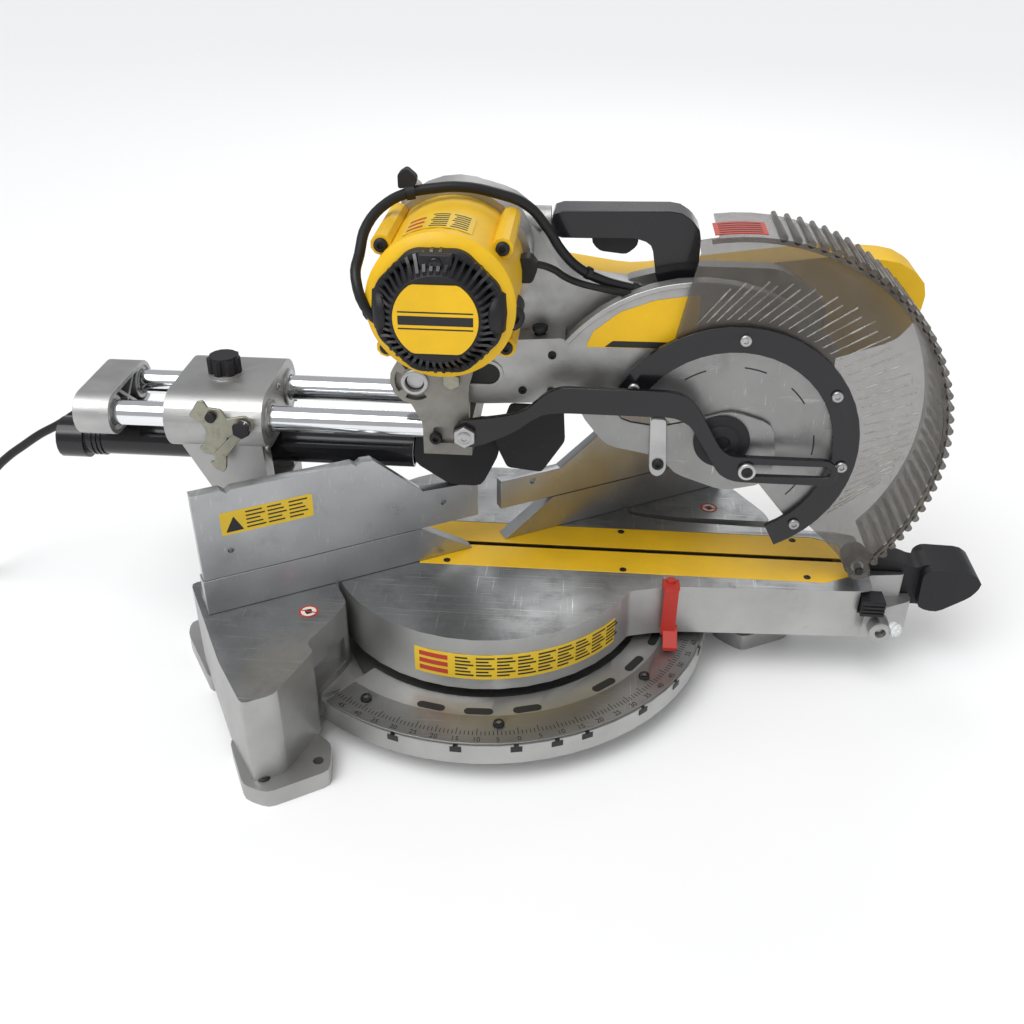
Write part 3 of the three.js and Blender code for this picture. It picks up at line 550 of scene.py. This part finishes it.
TABLE_FACE = 0.0935
plain = {
    CAST: ["rail_end_cap"],
    MACHINED: ["fence_fixed_left", "fence_fixed_right", "fence_sliding_left",
               "fence_sliding_right"],
    PLATE: ["miter_scale", "guard_plate", "arbor_cover"],
    STEEL: ["miter_pivot_bolt", "miter_handle_pin", "bevel_pivot_bolt", "latch_bolt",
            "rail_bushing_near", "rail_bushing_far", "pivot_shaft", "head_return_spring",
            "lever_nut", "stator", "arbor"],
    ZINC: ["bracket_bolt", "stop_latch"],
    RAIL: ["rail_near", "rail_far"],
    YELLOW: ["kerf_plate_near", "kerf_plate_far", "belt_cover", "motor_can"],
    BLACK: ["fence_knob_left", "fence_knob_right", "miter_detent_tab",
            "rail_lock_knob", "bevel_lock_lever", "lock_down_pin",
            "brush_cap_front", "brush_cap_rear", "trigger", "spindle_lock_button"],
    GLOSS: ["guard_lever", "guard_ring", "dust_duct"],
    RUBBER: ["dust_boot", "dust_flap", "guard_roller", "drive_belt"],
    CABLE: ["cord_strain_relief"],
    RED: ["miter_pointer"],
    COPPER: ["armature"],
}
for look, nodes in plain.items():
    for node in nodes:
        refine(node, look)
refine("base_casting", faced_metal("base finish", TABLE_FACE), bevel=1.2)
refine("turntable", faced_metal("turntable finish", TABLE_FACE), bevel=0.8)
refine("arm_casting", CAST, bevel=1.6)
refine("miter_lock_handle", BLACK, bevel=5.5, segments=5)
refine("main_handle", GLOSS, bevel=7.0, segments=5)
print("refined", sum(len(nodes) for nodes in plain.values()) + 5)

# %% [markdown]
# The miter scale is a stainless plate with black ticks: a short one for each degree and a
# long one for each five, with the number outside it. The pointer stands to one side of the
# arm, so zero is 17.6 degrees to the left of the middle. The base is turned 30 degrees.

# %% Scale marks
SCALE_TOP = 41.8


def base_place(bm):
    return spun(bm, 30)


def tick(degree):
    length = 7.0 if degree % 5 == 0 else 4.2
    mark = slab([(-0.32, -184.5), (0.32, -184.5), (0.32, -184.5 + length),
                 (-0.32, -184.5 + length)], "XY", SCALE_TOP - 0.02, SCALE_TOP + 0.10)
    return spun(mark, degree - 17.6)


marks = [tick(degree) for degree in range(-49, 61)]
put(base_place(gather(marks)), "scale_ticks", PRINT_BLACK, "base")


def number(degree):
    words = bpy.data.curves.new("number", "FONT")
    words.body = str(abs(degree))
    words.size = 6.4 * MM
    words.align_x = "CENTER"
    words.align_y = "CENTER"
    words.extrude = 0.06 * MM
    letter = bpy.data.objects.new("number", words)
    bpy.context.scene.collection.objects.link(letter)
    bpy.context.view_layer.update()
    mesh = bpy.data.meshes.new_from_object(letter)
    bpy.data.objects.remove(letter)
    bm = bmesh.new()
    bm.from_mesh(mesh)
    bpy.data.meshes.remove(mesh)
    bmesh.ops.translate(bm, verts=bm.verts, vec=Vector((0, -189.4, SCALE_TOP + 0.05)) * MM)
    return spun(bm, degree - 17.6)


numbers = [number(degree) for degree in range(-45, 61, 5)]
put(base_place(gather(numbers)), "scale_numbers", PRINT_BLACK, "base")


# %% Small screws
def socket_screw(place, along, radius, height, look, name, body, sides=24):
    """A button head with a round socket sunk in it, seated at place and facing along."""
    seat = Vector(place)
    way = Vector(along).normalized()
    profile = [(0, -0.4), (radius, -0.4), (radius, height * 0.55), (radius * 0.86, height * 0.9),
               (radius * 0.46, height), (radius * 0.46, height * 0.35), (0, height * 0.35)]
    return put(lathe(profile, seat, way, sides), name, look, body, soft=50)


BASE_X = Vector((math.cos(math.radians(30)), math.sin(math.radians(30)), 0))
BASE_Y = Vector((-math.sin(math.radians(30)), math.cos(math.radians(30)), 0))


def from_base(x, y, z):
    return BASE_X * x + BASE_Y * y + Vector((0, 0, z))


for count, degree in enumerate((-59, -22.2, 22.4)):
    x, y = on_circle((0, 0), 173, degree - 90)
    socket_screw(from_base(x, y, SCALE_TOP), (0, 0, 1), 4.6, 3.2, GLOSS,
                 f"scale_screw_{count}", "base")
for count, (x, y) in enumerate(((-33.8, -28.9), (117.4, -30.2), (272.5, -28.0),
                                (116.2, 29.2), (268.0, 28.6))):
    socket_screw((x, y, 95), (0, 0, 1), 3.0, 0.7, BLACK, f"kerf_screw_{count}", "table",
                 18)
print("scale and screws ready")

# %% [markdown]
# Slots in the miter ring let chips fall through, and notches in its rim hold the detent. Their shade
# is painted: dark inlays just proud of the casting stand in for the hollows, which keeps the casting one
# clean solid.

# %% Ring slots and foot plugs
# dark plates: painted shade in the ring slots and the detent notches
ring_slot_shade_marks = []
for degree in (-41.8, -27.7, -13.5, 12, 26.1, 41):
    slot_shade_shape = slab(arc((-8, 0), 3.6, 90, 270, 6) + arc((8, 0), 3.6, -90, 90, 6), "XY",
                      39.9, 40.15)
    bmesh.ops.translate(slot_shade_shape, verts=slot_shade_shape.verts, vec=(0, -0.156, 0))
    ring_slot_shade_marks.append(spun(slot_shade_shape, degree))
for degree in (-47, -32.2, -18.5, -9.1, -1.7, 14.2, 27, 42):
    bar = slab([(-4.5, -195.25), (4.5, -195.25), (4.5, -194.9), (-4.5, -194.9)], "XY", 33.5, 38.5)
    ring_slot_shade_marks.append(spun(bar, degree))
put(base_place(gather(ring_slot_shade_marks)), "ring_slot_shade", PRINT_BLACK, "base")
plug = lathe([(0, 15.9), (5.4, 15.9), (5.4, 17.4), (4.6, 18.0), (0, 18.0)],
             from_base(-239.7, -111.0, 0), (0, 0, 1), 32)
put(plug, "foot_plug", BLACK, "base")

# %% [markdown]
# The labels are plain: yellow fields, black and red strokes where the real ones have words.

# %% Labels
def curved_label(centre, radius, start, end, low, high, plane, look, name, body):
    """A thin sheet bent round a circle: plane XY stands on Z, plane XZ runs along Y."""
    steps = max(4, int(abs(end - start) / 2))
    ring = arc(centre, radius, start, end, steps) + arc(centre, radius - 0.5, end, start, steps)
    return put(slab(ring, plane, low, high), name, look, body)


curved_label((0, 0), 136.62, -110.4, -35.2, 56, 80, "XY", LABEL_YELLOW, "skirt_label", "table")
lines = []
for row in range(6):
    level = 59.2 + row * 3.4
    for start in range(-96, -38, 7):
        ring = arc((0, 0), 136.76, start, start + 6.2 - (row + start) % 3, 4)
        back_ring = arc((0, 0), 136.4, start + 6.2 - (row + start) % 3, start, 4)
        lines.append(slab(ring + back_ring, "XY", level, level + 1.5))
put(gather(lines), "skirt_label_lines", PRINT_BLACK, "table")
blocks = []
for row, level in enumerate((59, 66, 73)):
    ring = arc((0, 0), 136.76, -108.6, -98.5, 6) + arc((0, 0), 136.4, -98.5, -108.6, 6)
    blocks.append(slab(ring, "XY", level, level + 4.4))
put(gather(blocks), "skirt_label_blocks", PRINT_RED, "table")


def fence_print(points, depth, look, name, radius=0.0):
    shape = slab(points, "XZ", -0.05 - depth, 0.05, radius)
    return put(base_place(shape), name, look, "fence_left")


fence_print([(-225.8, 165), (-153, 165), (-153, 185.2), (-225.8, 185.2)], 0.15, LABEL_YELLOW,
            "fence_label", 1.5)
fence_print([(-222.5, 167.4), (-208.5, 167.4), (-215.5, 180.5)], 0.3, PRINT_BLACK,
            "fence_label_triangle", 0.8)
strokes = [slab([(-206 + 17 * c, 168 + 3.4 * r), (-206 + 17 * c + 15 - (c + r) % 3 * 2, 168 + 3.4 * r),
                 (-206 + 17 * c + 15 - (c + r) % 3 * 2, 169.2 + 3.4 * r),
                 (-206 + 17 * c, 169.2 + 3.4 * r)], "XZ", -0.35, 0.0)
           for r in range(5) for c in range(3)]
put(base_place(gather(strokes)), "fence_label_lines", PRINT_BLACK, "fence_left")


def hand_icon(x, y, name):
    """A white disc with a red ring and a slanting bar."""
    disc = lathe([(0, 0), (7.6, 0), (7.6, 0.15), (0, 0.15)], from_base(x, y, 95), (0, 0, 1), 40)
    put(disc, name + "_disc", PRINT_WHITE, "base")
    ring = lathe([(6.2, 0.1), (7.8, 0.1), (7.8, 0.3), (6.2, 0.3), (6.2, 0.1)],
                 from_base(x, y, 95), (0, 0, 1), 40)
    bar = slab([(-5.6, 3.9), (-4.6, 4.8), (5.6, -3.9), (4.6, -4.8)], "XY", 95.1, 95.28)
    palm = slab([(-2.6, -3.2), (2.4, -3.2), (3.0, 2.4), (-3.0, 3.4)], "XY", 95.1, 95.22, 1.0)
    for part in (bar, palm):
        bmesh.ops.rotate(part, verts=part.verts, cent=(0, 0, 0),
                         matrix=Matrix.Rotation(math.radians(30), 3, "Z"))
        bmesh.ops.translate(part, verts=part.verts,
                            vec=Vector(from_base(x, y, 0)) * MM)
    put(gather([ring, bar]), name + "_ring", PRINT_RED, "base")
    put(palm, name + "_palm", PRINT_BLACK, "base")


hand_icon(-172.5, -28.5, "left_icon")
hand_icon(210.4, -32.0, "right_icon")
print("labels ready")

# %% [markdown]
# The motor end cap is a black cage: a rim, a round face, and a comb of thin fins between
# them, with a plain yellow badge in the middle and a dome at each side. Each fin is one
# small box, turned into place. A yellow ring closes the can round it.

# %% Motor end cap
MOTOR = (-18.0, 365.0)


def cap_octagon(radius, low, high, round_off):
    corners = [on_circle(MOTOR, radius, 22.5 + 45 * i) for i in range(8)]
    return slab(corners, "XZ", low, high, round_off, 6)


front = lathe([(45.0, 0), (49.4, 0), (49.4, 3.4), (44, 8.6), (38, 9.2), (38, 0), (45.0, 0)],
              (MOTOR[0], -128.5, MOTOR[1]), (0, -1, 0), 96)
put(front, "can_front_ring", YELLOW, "head", soft=40)
rim = carve(cap_octagon(44.5, -143.5, -133.0, 6), rod(37.0, (MOTOR[0], -150, MOTOR[1]),
            (MOTOR[0], -137, MOTOR[1]), 64))
put(rim, "end_cap_rim", BLACK, "head", bevel=1.6, soft=28)
face = lathe([(0, 0), (39.4, 0), (39.4, 3), (36, 8), (31.0, 19.5), (28.5, 22.4), (0, 22.4)],
             (MOTOR[0], -132, MOTOR[1]), (0, -1, 0), 96)
put(face, "end_cap_face", BLACK, "head", ["motor_end_cap"], soft=40)
fins = []
for index in range(46):
    fin = slab([(27.5, -154.2), (31.5, -153.2), (37.0, -146.6), (41.6, -143.2), (41.6, -136),
                (27.0, -136)], "XY", MOTOR[1] - 1.05, MOTOR[1] + 1.05)
    bmesh.ops.translate(fin, verts=fin.verts, vec=(MOTOR[0] * MM, 0, 0))
    fins.append(spun(fin, index * 360 / 46, (MOTOR[0], 0, MOTOR[1]), "Y"))
put(gather(fins), "end_cap_fins", GLOSS, "head")
for hand in (-1, 1):
    dome = lathe([(0, 0), (14.5, 0), (14.5, 4), (12.5, 6.4), (0, 7.6)],
                 (MOTOR[0] + hand * 36.5, -136.5, MOTOR[1]), (hand, -0.25, 0), 40)
    put(dome, f"brush_dome_{'rear' if hand < 0 else 'front'}", BLACK, "head",
        soft=45)
badge_ring = [(x, min(max(z, 342.2), 388.0)) for x, z in arc(MOTOR, 27.4, 0, 354, 59)]
badge = slab(badge_ring, "XZ", -155.3, -154.2)
put(badge, "end_cap_badge", YELLOW, "head")
stripe = gather([slab([(-42, low), (6, low), (6, high), (-42, high)], "XZ", -155.45, -155.2)
                 for low, high in ((369.6, 370.5), (361.5, 367.5), (358.5, 359.4))])
put(stripe, "badge_stripe", PRINT_BLACK, "head")
tab = slab([(MOTOR[0] - 10, MOTOR[1] + 29), (MOTOR[0] + 10, MOTOR[1] + 29),
            (MOTOR[0] + 11, MOTOR[1] + 40.5), (MOTOR[0] - 11, MOTOR[1] + 40.5)], "XZ", -149, -138, 1.5)
put(tab, "end_cap_tab", BLACK, "head", bevel=1.2)
socket_screw((MOTOR[0], -149, MOTOR[1] + 34.5), (0, -1, 0), 4.2, 1.6, GLOSS, "end_cap_screw",
             "head")
for count, degree in enumerate((42, 138, 222, 322)):
    x, z = on_circle(MOTOR, 53, degree)
    socket_screw((x, -118.3, z), (0, -1, 0), 4.6, 2.6, BLACK, f"can_screw_{count}", "head")
curved_label(MOTOR, 49.55, 66, 120, -122, -90, "XZ", LABEL_YELLOW, "can_label", "head")
rows = []
for row in range(7):
    y = -119.5 + row * 4.1
    for start in (70, 86):
        ring = arc(MOTOR, 49.72, start, start + 13 - row % 3, 4)
        rows.append(slab(ring + arc(MOTOR, 49.3, start + 13 - row % 3, start, 4), "XZ", y, y + 1.6))
put(gather(rows), "can_label_lines", PRINT_BLACK, "head")
reds = [slab(arc(MOTOR, 49.72, 104, 117, 4) + arc(MOTOR, 49.3, 117, 104, 4), "XZ", y, y + 3.6)
        for y in (-119, -110, -101)]
put(gather(reds), "can_label_blocks", PRINT_RED, "head")
print("motor ready")

# %% [markdown]
# The lower guard is one moulding of smoky clear plastic: a flat side, a deep rim whose outer
# face has a row of ridges, and a fan of raised ribs. The ridges are darker because light has
# more plastic to cross, so they get a denser copy of the same look.

# %% Lower guard
ARBOR = (190.0, 225.0)


def dense_smoke():
    look = Look("smoked plastic, edge on")
    haze = look.noise(60.0, 4.0)
    tone = look.mix(haze.ramp(0.3, 0.7), (0.035, 0.029, 0.024), (0.12, 0.10, 0.08))
    return look.surface(base_color=tone, roughness=0.12, alpha=haze.ramp(0.3, 0.7, 0.62, 0.85),
                        coat_weight=0.3)


# The ribs are the same smoky plastic, coloured much lighter: a painted highlight along each rib.
def clear_rib():
    look = Look("smoked plastic rib, painted highlight")
    haze = look.noise(80.0, 4.0)
    tone = look.mix(haze.ramp(0.3, 0.7), (0.24, 0.22, 0.19), (0.46, 0.43, 0.39))
    return look.surface(base_color=tone, roughness=0.12, alpha=haze.ramp(0.35, 0.65, 0.30, 0.65),
                        coat_weight=0.7)


DENSE = dense_smoke()
refine("lower_guard", SMOKED, bevel=0.0)
ridges = []
for index in range(36):
    x, z = on_circle(ARBOR, 165.2, -38 + index * 3.45)
    ridges.append(rod(3.0, (x, -42.6, z), (x, 17.0, z), 14, 2.2))
put(gather(ridges), "guard_ridges", DENSE, "guard", soft=60)
lip = slab(arc(ARBOR, 163.9, -37, 100, 68) + arc(ARBOR, 160.6, 100, -37, 68), "XZ", -42.6, -41.05)
put(lip, "guard_lip", DENSE, "guard")
ribs = []
for index in range(35):
    degree = -34 + index * 4.2
    lean = math.radians(18 + 0.36 * max(degree - 12, 0) + 0.45 * max(12 - degree, 0))
    a = on_circle(ARBOR, 103, degree)
    reach = 36 + 4 * (index % 2)
    b = (a[0] + reach * math.cos(lean), a[1] + reach * math.sin(lean))
    ribs.append(rod(0.55, (a[0], -41.25, a[1]), (b[0], -41.25, b[1]), 8, 0.8))
# the ribs' light colour is a painted highlight
put(gather(ribs), "guard_ribs", clear_rib(), "guard", soft=60)
red_field = slab(arc(ARBOR, 164.4, 86, 99, 8) + arc(ARBOR, 163.8, 99, 86, 8), "XZ", -34, -6)
put(red_field, "guard_label", PRINT_RED, "guard")
label_rows = [slab(arc(ARBOR, 164.6, 87.2, 97.8, 6) + arc(ARBOR, 164.3, 97.8, 87.2, 6), "XZ", y, y + 1.4)
              for y in (-31, -26, -21, -16, -11)]
put(gather(label_rows), "guard_label_lines", PRINT_BLACK, "guard")
for count, degree in enumerate((-48, -8, 32, 88, 148)):
    x, z = on_circle(ARBOR, 89, degree)
    socket_screw((x, -46.6, z), (0, -1, 0), 4.4, 2.0, STEEL, f"ring_screw_{count}", "guard")
# Dark sheets in the guard plate's slots: painted shade where the slots open.
slots = []
for degree in (-40, -5, 35, 70, 110):
    steps = arc(ARBOR, 66, degree, degree + 15, 8) + arc(ARBOR, 64.9, degree + 15, degree, 8)
    slots.append(slab(steps, "XZ", -41.12, -40.9))
put(gather(slots), "guard_plate_slot_shade", PRINT_BLACK, "guard")
print("guard ready")

# %% [markdown]
# Under the lever sits the arbor: a black dished washer in front of the zinc cover, with the
# cover's pressed edge and its bolt to one side.

# %% Arbor details
washer = lathe([(0, 0), (21.5, 0), (21.5, 2.2), (18, 4.2), (14, 3.2), (10.5, 5.4), (6.4, 5.4),
                (5.4, 3.6), (0, 3.6)], (184.5, -45.3, 230.5), (0, -1, 0), 64)
put(washer, "arbor_washer", BLACK, "head", soft=45)
strip = slab([(128.5, 249), (141, 249), (144, 205), (140, 199), (134, 199), (130.5, 205)], "XZ",
             -49.5, -45.2, 3)
put(strip, "cover_strip", STEEL, "head", bevel=0.6)
socket_screw((137.2, -49.5, 210), (0, -1, 0), 4.6, 2.6, BLACK, "cover_screw", "head")
socket_screw((-12.3, -66.0, 234.4), (0, -1, 0), 5.2, 1.2, STEEL, "lever_bolt_end", "rails")
lever_pin = rod(6.9, (204, -64.4, 214), (204, -61.0, 214), 40)
put(lever_pin, "lever_pin_head", STEEL, "head", bevel=0.8)
socket_screw((204, -64.4, 214), (0, -1, 0), 4.4, 0.8, BLACK, "lever_pin_socket", "head")

# %% [markdown]
# The pivot bracket is cast with three kidney-shaped slots round its boss. They are sunk into
# a copy of the solid, so that they have real depth. The boss then gets a bright ring.

# %% Pivot bracket
PIVOT = (-50.8, 273.6)


def kidney(start, end):
    ring = arc(PIVOT, 15.6, start, end, 10) + arc(PIVOT, 11.4, end, start, 10)
    return slab(ring, "XZ", -53, -47.5)


window = slab([(-38, 222), (-16, 222), (-16, 236), (-38, 236)], "XZ", -53, -48.5, 3)
refine("pivot_bracket", ROUGH, 1.4, cuts=[kidney(55, 125), kidney(150, 215), kidney(240, 305), window])
boss = lathe([(7.5, 0), (10.2, 0), (10.2, 2.2), (9.4, 2.8), (7.5, 2.8), (7.5, 0)],
             (PIVOT[0], -52, PIVOT[1]), (0, -1, 0), 48)
put(boss, "pivot_boss", STEEL, "rails", soft=50)
socket_screw((-36, -52.2, 226.5), (0, -1, 0), 5.0, 4.0, BLACK, "bracket_screw", "rails")

# %% [markdown]
# The rail housing carries a ring of bright steel at each rail, small screws, and the zinc
# latch with its stud, link and nut. The dust duct has three ribs near its end.

# %% Rail housing
refine("bevel_housing", faced_metal("housing finish", 0.4), bevel=1.5)
for hand in (-1, 1):
    collar = lathe([(10.95, 0), (15.6, 0), (15.6, 1.6), (14.6, 2.4), (10.95, 2.4), (10.95, 0)],
                   (-174, hand * 29.5, 225.5), (1, 0, 0), 56)
    put(collar, f"rail_collar_{'near' if hand < 0 else 'far'}", STEEL, "bevel_post", soft=50)
for count, (y, z) in enumerate(((0, 240), (0, 211), (-46, 207), (46, 207))):
    socket_screw((-174, y, z), (1, 0, 0), 2.8, 1.6, STEEL, f"housing_screw_{count}", "bevel_post",
                 18)
stud = rod(4.2, (-211, -62.5, 240), (-211, -58.4, 240), 32)
put(stud, "latch_stud", BLACK, "latch", bevel=0.6)
link = slab([(-214, 207), (-206, 202), (-186, 226), (-190, 231)], "XZ", -60.2, -58.7, 3)
put(link, "latch_link", ZINC, "latch", bevel=0.3)
nut = rod(7.4, (-186.6, -66.6, 232.4), (-186.6, -61.8, 232.4), 6)
put(nut, "latch_nut", BLACK, "bevel_post", bevel=0.7)
duct_ribs = []
for x in (-338, -334, -330):
    duct_ribs.append(lathe([(14.3, 0), (15.6, 0), (15.6, 1.8), (14.3, 1.8), (14.3, 0)], (x, 0, 186),
                           (1, 0, 0), 48))
put(gather(duct_ribs), "duct_ribs", GLOSS, "rails", soft=50)
print("rails ready")

# %% [markdown]
# The arm casting has a yellow inset along its arch, with a black stripe along the lower right,
# painted shade in an oval pocket, and a row of small screws.

# %% Arm casting details
inset = slab([(77, 299.8), (82, 312), (101, 328), (126, 338), (150, 342), (159, 342.6),
              (159, 302), (141, 300.7)], "XZ", -35.6, -34.9, 1.5)
put(inset, "arch_inset", YELLOW, "head")
bar = slab([(91, 300.6), (141, 300.9), (141, 306), (97, 305.5)], "XZ", -35.8, -35.5, 0.8)
put(bar, "arch_stripe", PRINT_BLACK, "head")
# a dark sheet in the pocket: painted shade in the recess
pocket = slab(arc((-17, 275), 8.5, 90, 270, 10) + arc((4, 275), 8.5, -90, 90, 10), "XZ", -35.5, -34.8)
put(pocket, "arm_pocket", PRINT_BLACK, "head")
pocket_rim = carve(slab(arc((-17, 275), 11, 90, 270, 12) + arc((4, 275), 11, -90, 90, 12), "XZ",
                        -36.4, -34.9),
                   slab(arc((-17, 275), 8.6, 90, 270, 12) + arc((4, 275), 8.6, -90, 90, 12),
                        "XZ", -38, -34))
put(pocket_rim, "arm_pocket_rim", CAST, "head")
for count, (x, z) in enumerate(((30, 262), (52, 262), (52, 292))):
    socket_screw((x, -35.1, z), (0, -1, 0), 3.2, 1.8, BLACK, f"arm_screw_{count}", "head", 18)
arch_lip = slab(arc((162.6, 224.4), 129.0, 38, 142, 52) + arc((162.6, 224.4), 125.0, 142, 38, 52),
                "XZ", -36.6, -35.1)
put(arch_lip, "arch_lip", CAST, "head", bevel=0.5)

# %% [markdown]
# The belt cover is one moulding held by screws round its edge, with a shallow raised panel
# that stiffens its long side.

# %% Belt cover details
panel = slab([(-44, 352), (-30, 374), (0, 376), (26, 330), (112, 316), (262, 338), (308, 336),
              (322, 316), (300, 288), (246, 266), (224, 220), (176, 220), (132, 264)], "XZ",
             69.8, 71.2, 8)
put(panel, "belt_cover_panel", YELLOW, "head", bevel=0.8)
for count, (x, z) in enumerate(((-51, 350), (-14, 384), (110, 323.5), (262, 345), (326, 334),
                                (250, 236), (166, 213), (60, 287))):
    socket_screw((x, 70.0, z), (0, 1, 0), 3.6, 1.8, BLACK, f"cover_edge_screw_{count}", "head",
                 18)

# %% [markdown]
# Two leads run from the motor to the switch. The thick one is held by the clip on the gear
# case. It follows its solid's route, with its start led in behind the end cap. Both run in
# under the handle.

# %% Motor leads
lead_route = [Vector(p) * MM for p in (
    (-71, -134, 371), (-73, -128, 381), (-73, -112, 392), (-71, -92, 405), (-60, -74, 415),
    (-46, -64, 419.5), (-31, -60, 421.5), (-12, -56, 422), (11, -51, 417), (32, -44.5, 407.5),
    (46.5, -38, 389.5), (57, -32, 371.5), (70, -26, 357), (87, -21, 347), (104, -18, 341.5),
    (122, -16.5, 338))]
lead_route[0:1] = [Vector(p) * MM for p in ((-52, -133, 352), (-63, -136, 360))]
lead = cord_curve("motor_lead_cable", lead_route, 0.0072, CABLE, "head")
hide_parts("motor_lead")
second = [Vector(p) * MM for p in (
    (32, -62, 372), (42, -58, 370), (52, -50, 364), (60, -42, 356), (70, -34, 349),
    (84, -29, 344), (100, -26, 340), (118, -24, 336))]
cord_curve("switch_lead", second, 0.0052, CABLE, "head")
ties = []
for a, b in (((70, -26, 357), (87, -21, 347)), ((104, -18, 341.5), (122, -16.5, 338))):
    start, end = Vector(a), Vector(b)
    way = (end - start).normalized()
    ties.append(lathe([(3.4, 0), (4.7, 0), (4.7, 3.4), (3.4, 3.4), (3.4, 0)], start + way * 6, way, 28))
put(gather(ties), "lead_ties", BLACK, "head", soft=50)
clip = lathe([(3.7, -3), (5.0, -3), (5.0, 3), (3.7, 3), (3.7, -3)], (-46, -64, 419.5),
             (0.96, 0.24, 0.14), 32)
put(clip, "lead_clip", BLACK, "head", soft=50)
clip_foot = slab([(-54, 422), (-42, 424), (-41, 430), (-48, 436), (-54, 432)], "XZ", -66, -58, 2)
put(clip_foot, "lead_clip_foot", BLACK, "head", bevel=0.5)
plug_body = slab([(24, 376), (36, 379), (42, 372), (38, 360), (26, 360)], "XZ", -70, -56, 3)
put(plug_body, "lead_connector", BLACK, "head", bevel=1.0)
cap = lathe([(0, 0), (8.4, 0), (8.4, 5), (7, 6.5), (3.5, 6.5), (3.5, 5), (0, 5)],
            (27, -126, 358), (0.5, -0.86, 0), 32)
put(cap, "brush_cap_face", BLACK, "head", soft=50)
print("leads ready")

# %% [markdown]
# The nose of the table arm carries a bored boss and a clear crimped knob. The roller of the
# lower guard, which rests near it, gets a steel hub.

# %% Arm nose
ring = lathe([(4.6, 0), (9.2, 0), (9.2, 1.4), (8.2, 2.2), (4.6, 2.2), (4.6, 0)], (335, -50, 58),
             (0, -1, 0), 40)
put(ring, "nose_boss_face", CAST, "table", soft=50)


def clear_knob():
    look = Look("clear crimped knob")
    haze = look.noise(400.0, 3.0)
    return look.surface(base_color=look.mix(haze, (0.72, 0.74, 0.75), (0.90, 0.91, 0.92)),
                        roughness=0.15, alpha=haze.ramp(0.3, 0.7, 0.35, 0.7),
                        normal=look.bump(haze, 0.6, 0.001))


knob_profile = [(0, 0), (5.5, 0), (6.2, 2.0), (5.0, 4.0), (6.0, 6.0), (4.4, 8.0), (0, 8.5)]
put(lathe(knob_profile, (344.5, -46.0, 60.5), (0.55, -0.8, 0.1), 20), "clear_knob", clear_knob(),
    "table", soft=20)
hub = lathe([(0, 0), (5.2, 0), (5.2, 1.0), (0, 1.6)], (310, -32.6, 112.6), (0, -1, 0), 32)
put(hub, "roller_hub", STEEL, "guard", soft=50)
print("nose ready")

# %% [markdown]
# A pale floor and surround, a wide soft lamp like an overcast sky, and three area lamps that
# give the metal its shine.

# %% Floor and light
floor_mesh = bmesh.new()
bmesh.ops.create_grid(floor_mesh, x_segments=1, y_segments=1, size=6.0)
floor_data = bpy.data.meshes.new("floor")
floor_mesh.to_mesh(floor_data)
floor_mesh.free()
floor_look = Look("pale floor")
floor_data.materials.append(floor_look.surface(base_color=(0.90, 0.90, 0.90), roughness=0.7))
floor = bpy.data.objects.new("floor", floor_data)
bpy.context.scene.collection.objects.link(floor)


def soft_light(name, place, target, size, power):
    data = bpy.data.lights.new(name, "AREA")
    data.size = size
    data.energy = power
    light = bpy.data.objects.new(name, data)
    aim = (Vector(target) - Vector(place)).to_track_quat("-Z", "Y")
    light.matrix_world = Matrix.Translation(place) @ aim.to_matrix().to_4x4()
    bpy.context.scene.collection.objects.link(light)


soft_light("key", (-0.9, -1.3, 2.1), (0.0, 0.0, 0.15), 1.0, 9)
soft_light("fill", (1.8, -1.4, 1.3), (0.0, 0.0, 0.2), 1.2, 4)
soft_light("rim", (0.3, 1.8, 1.7), (0.0, 0.0, 0.2), 1.2, 7)
sky = bpy.data.lights.new("sky", "SUN")
sky.energy = 2.0
sky.angle = math.radians(50)
sky_lamp = bpy.data.objects.new("sky", sky)
sky_aim = Vector((0.35, 0.45, -1.0)).to_track_quat("-Z", "Y")
sky_lamp.matrix_world = sky_aim.to_matrix().to_4x4()
bpy.context.scene.collection.objects.link(sky_lamp)
world = bpy.data.worlds.new("surround")
world.use_nodes = True
world.node_tree.nodes["Background"].inputs["Color"].default_value = (0.93, 0.94, 0.96, 1)
world.node_tree.nodes["Background"].inputs["Strength"].default_value = 0.48
bpy.context.scene.world = world
bpy.context.scene.view_settings.view_transform = "Standard"
print("lights ready")
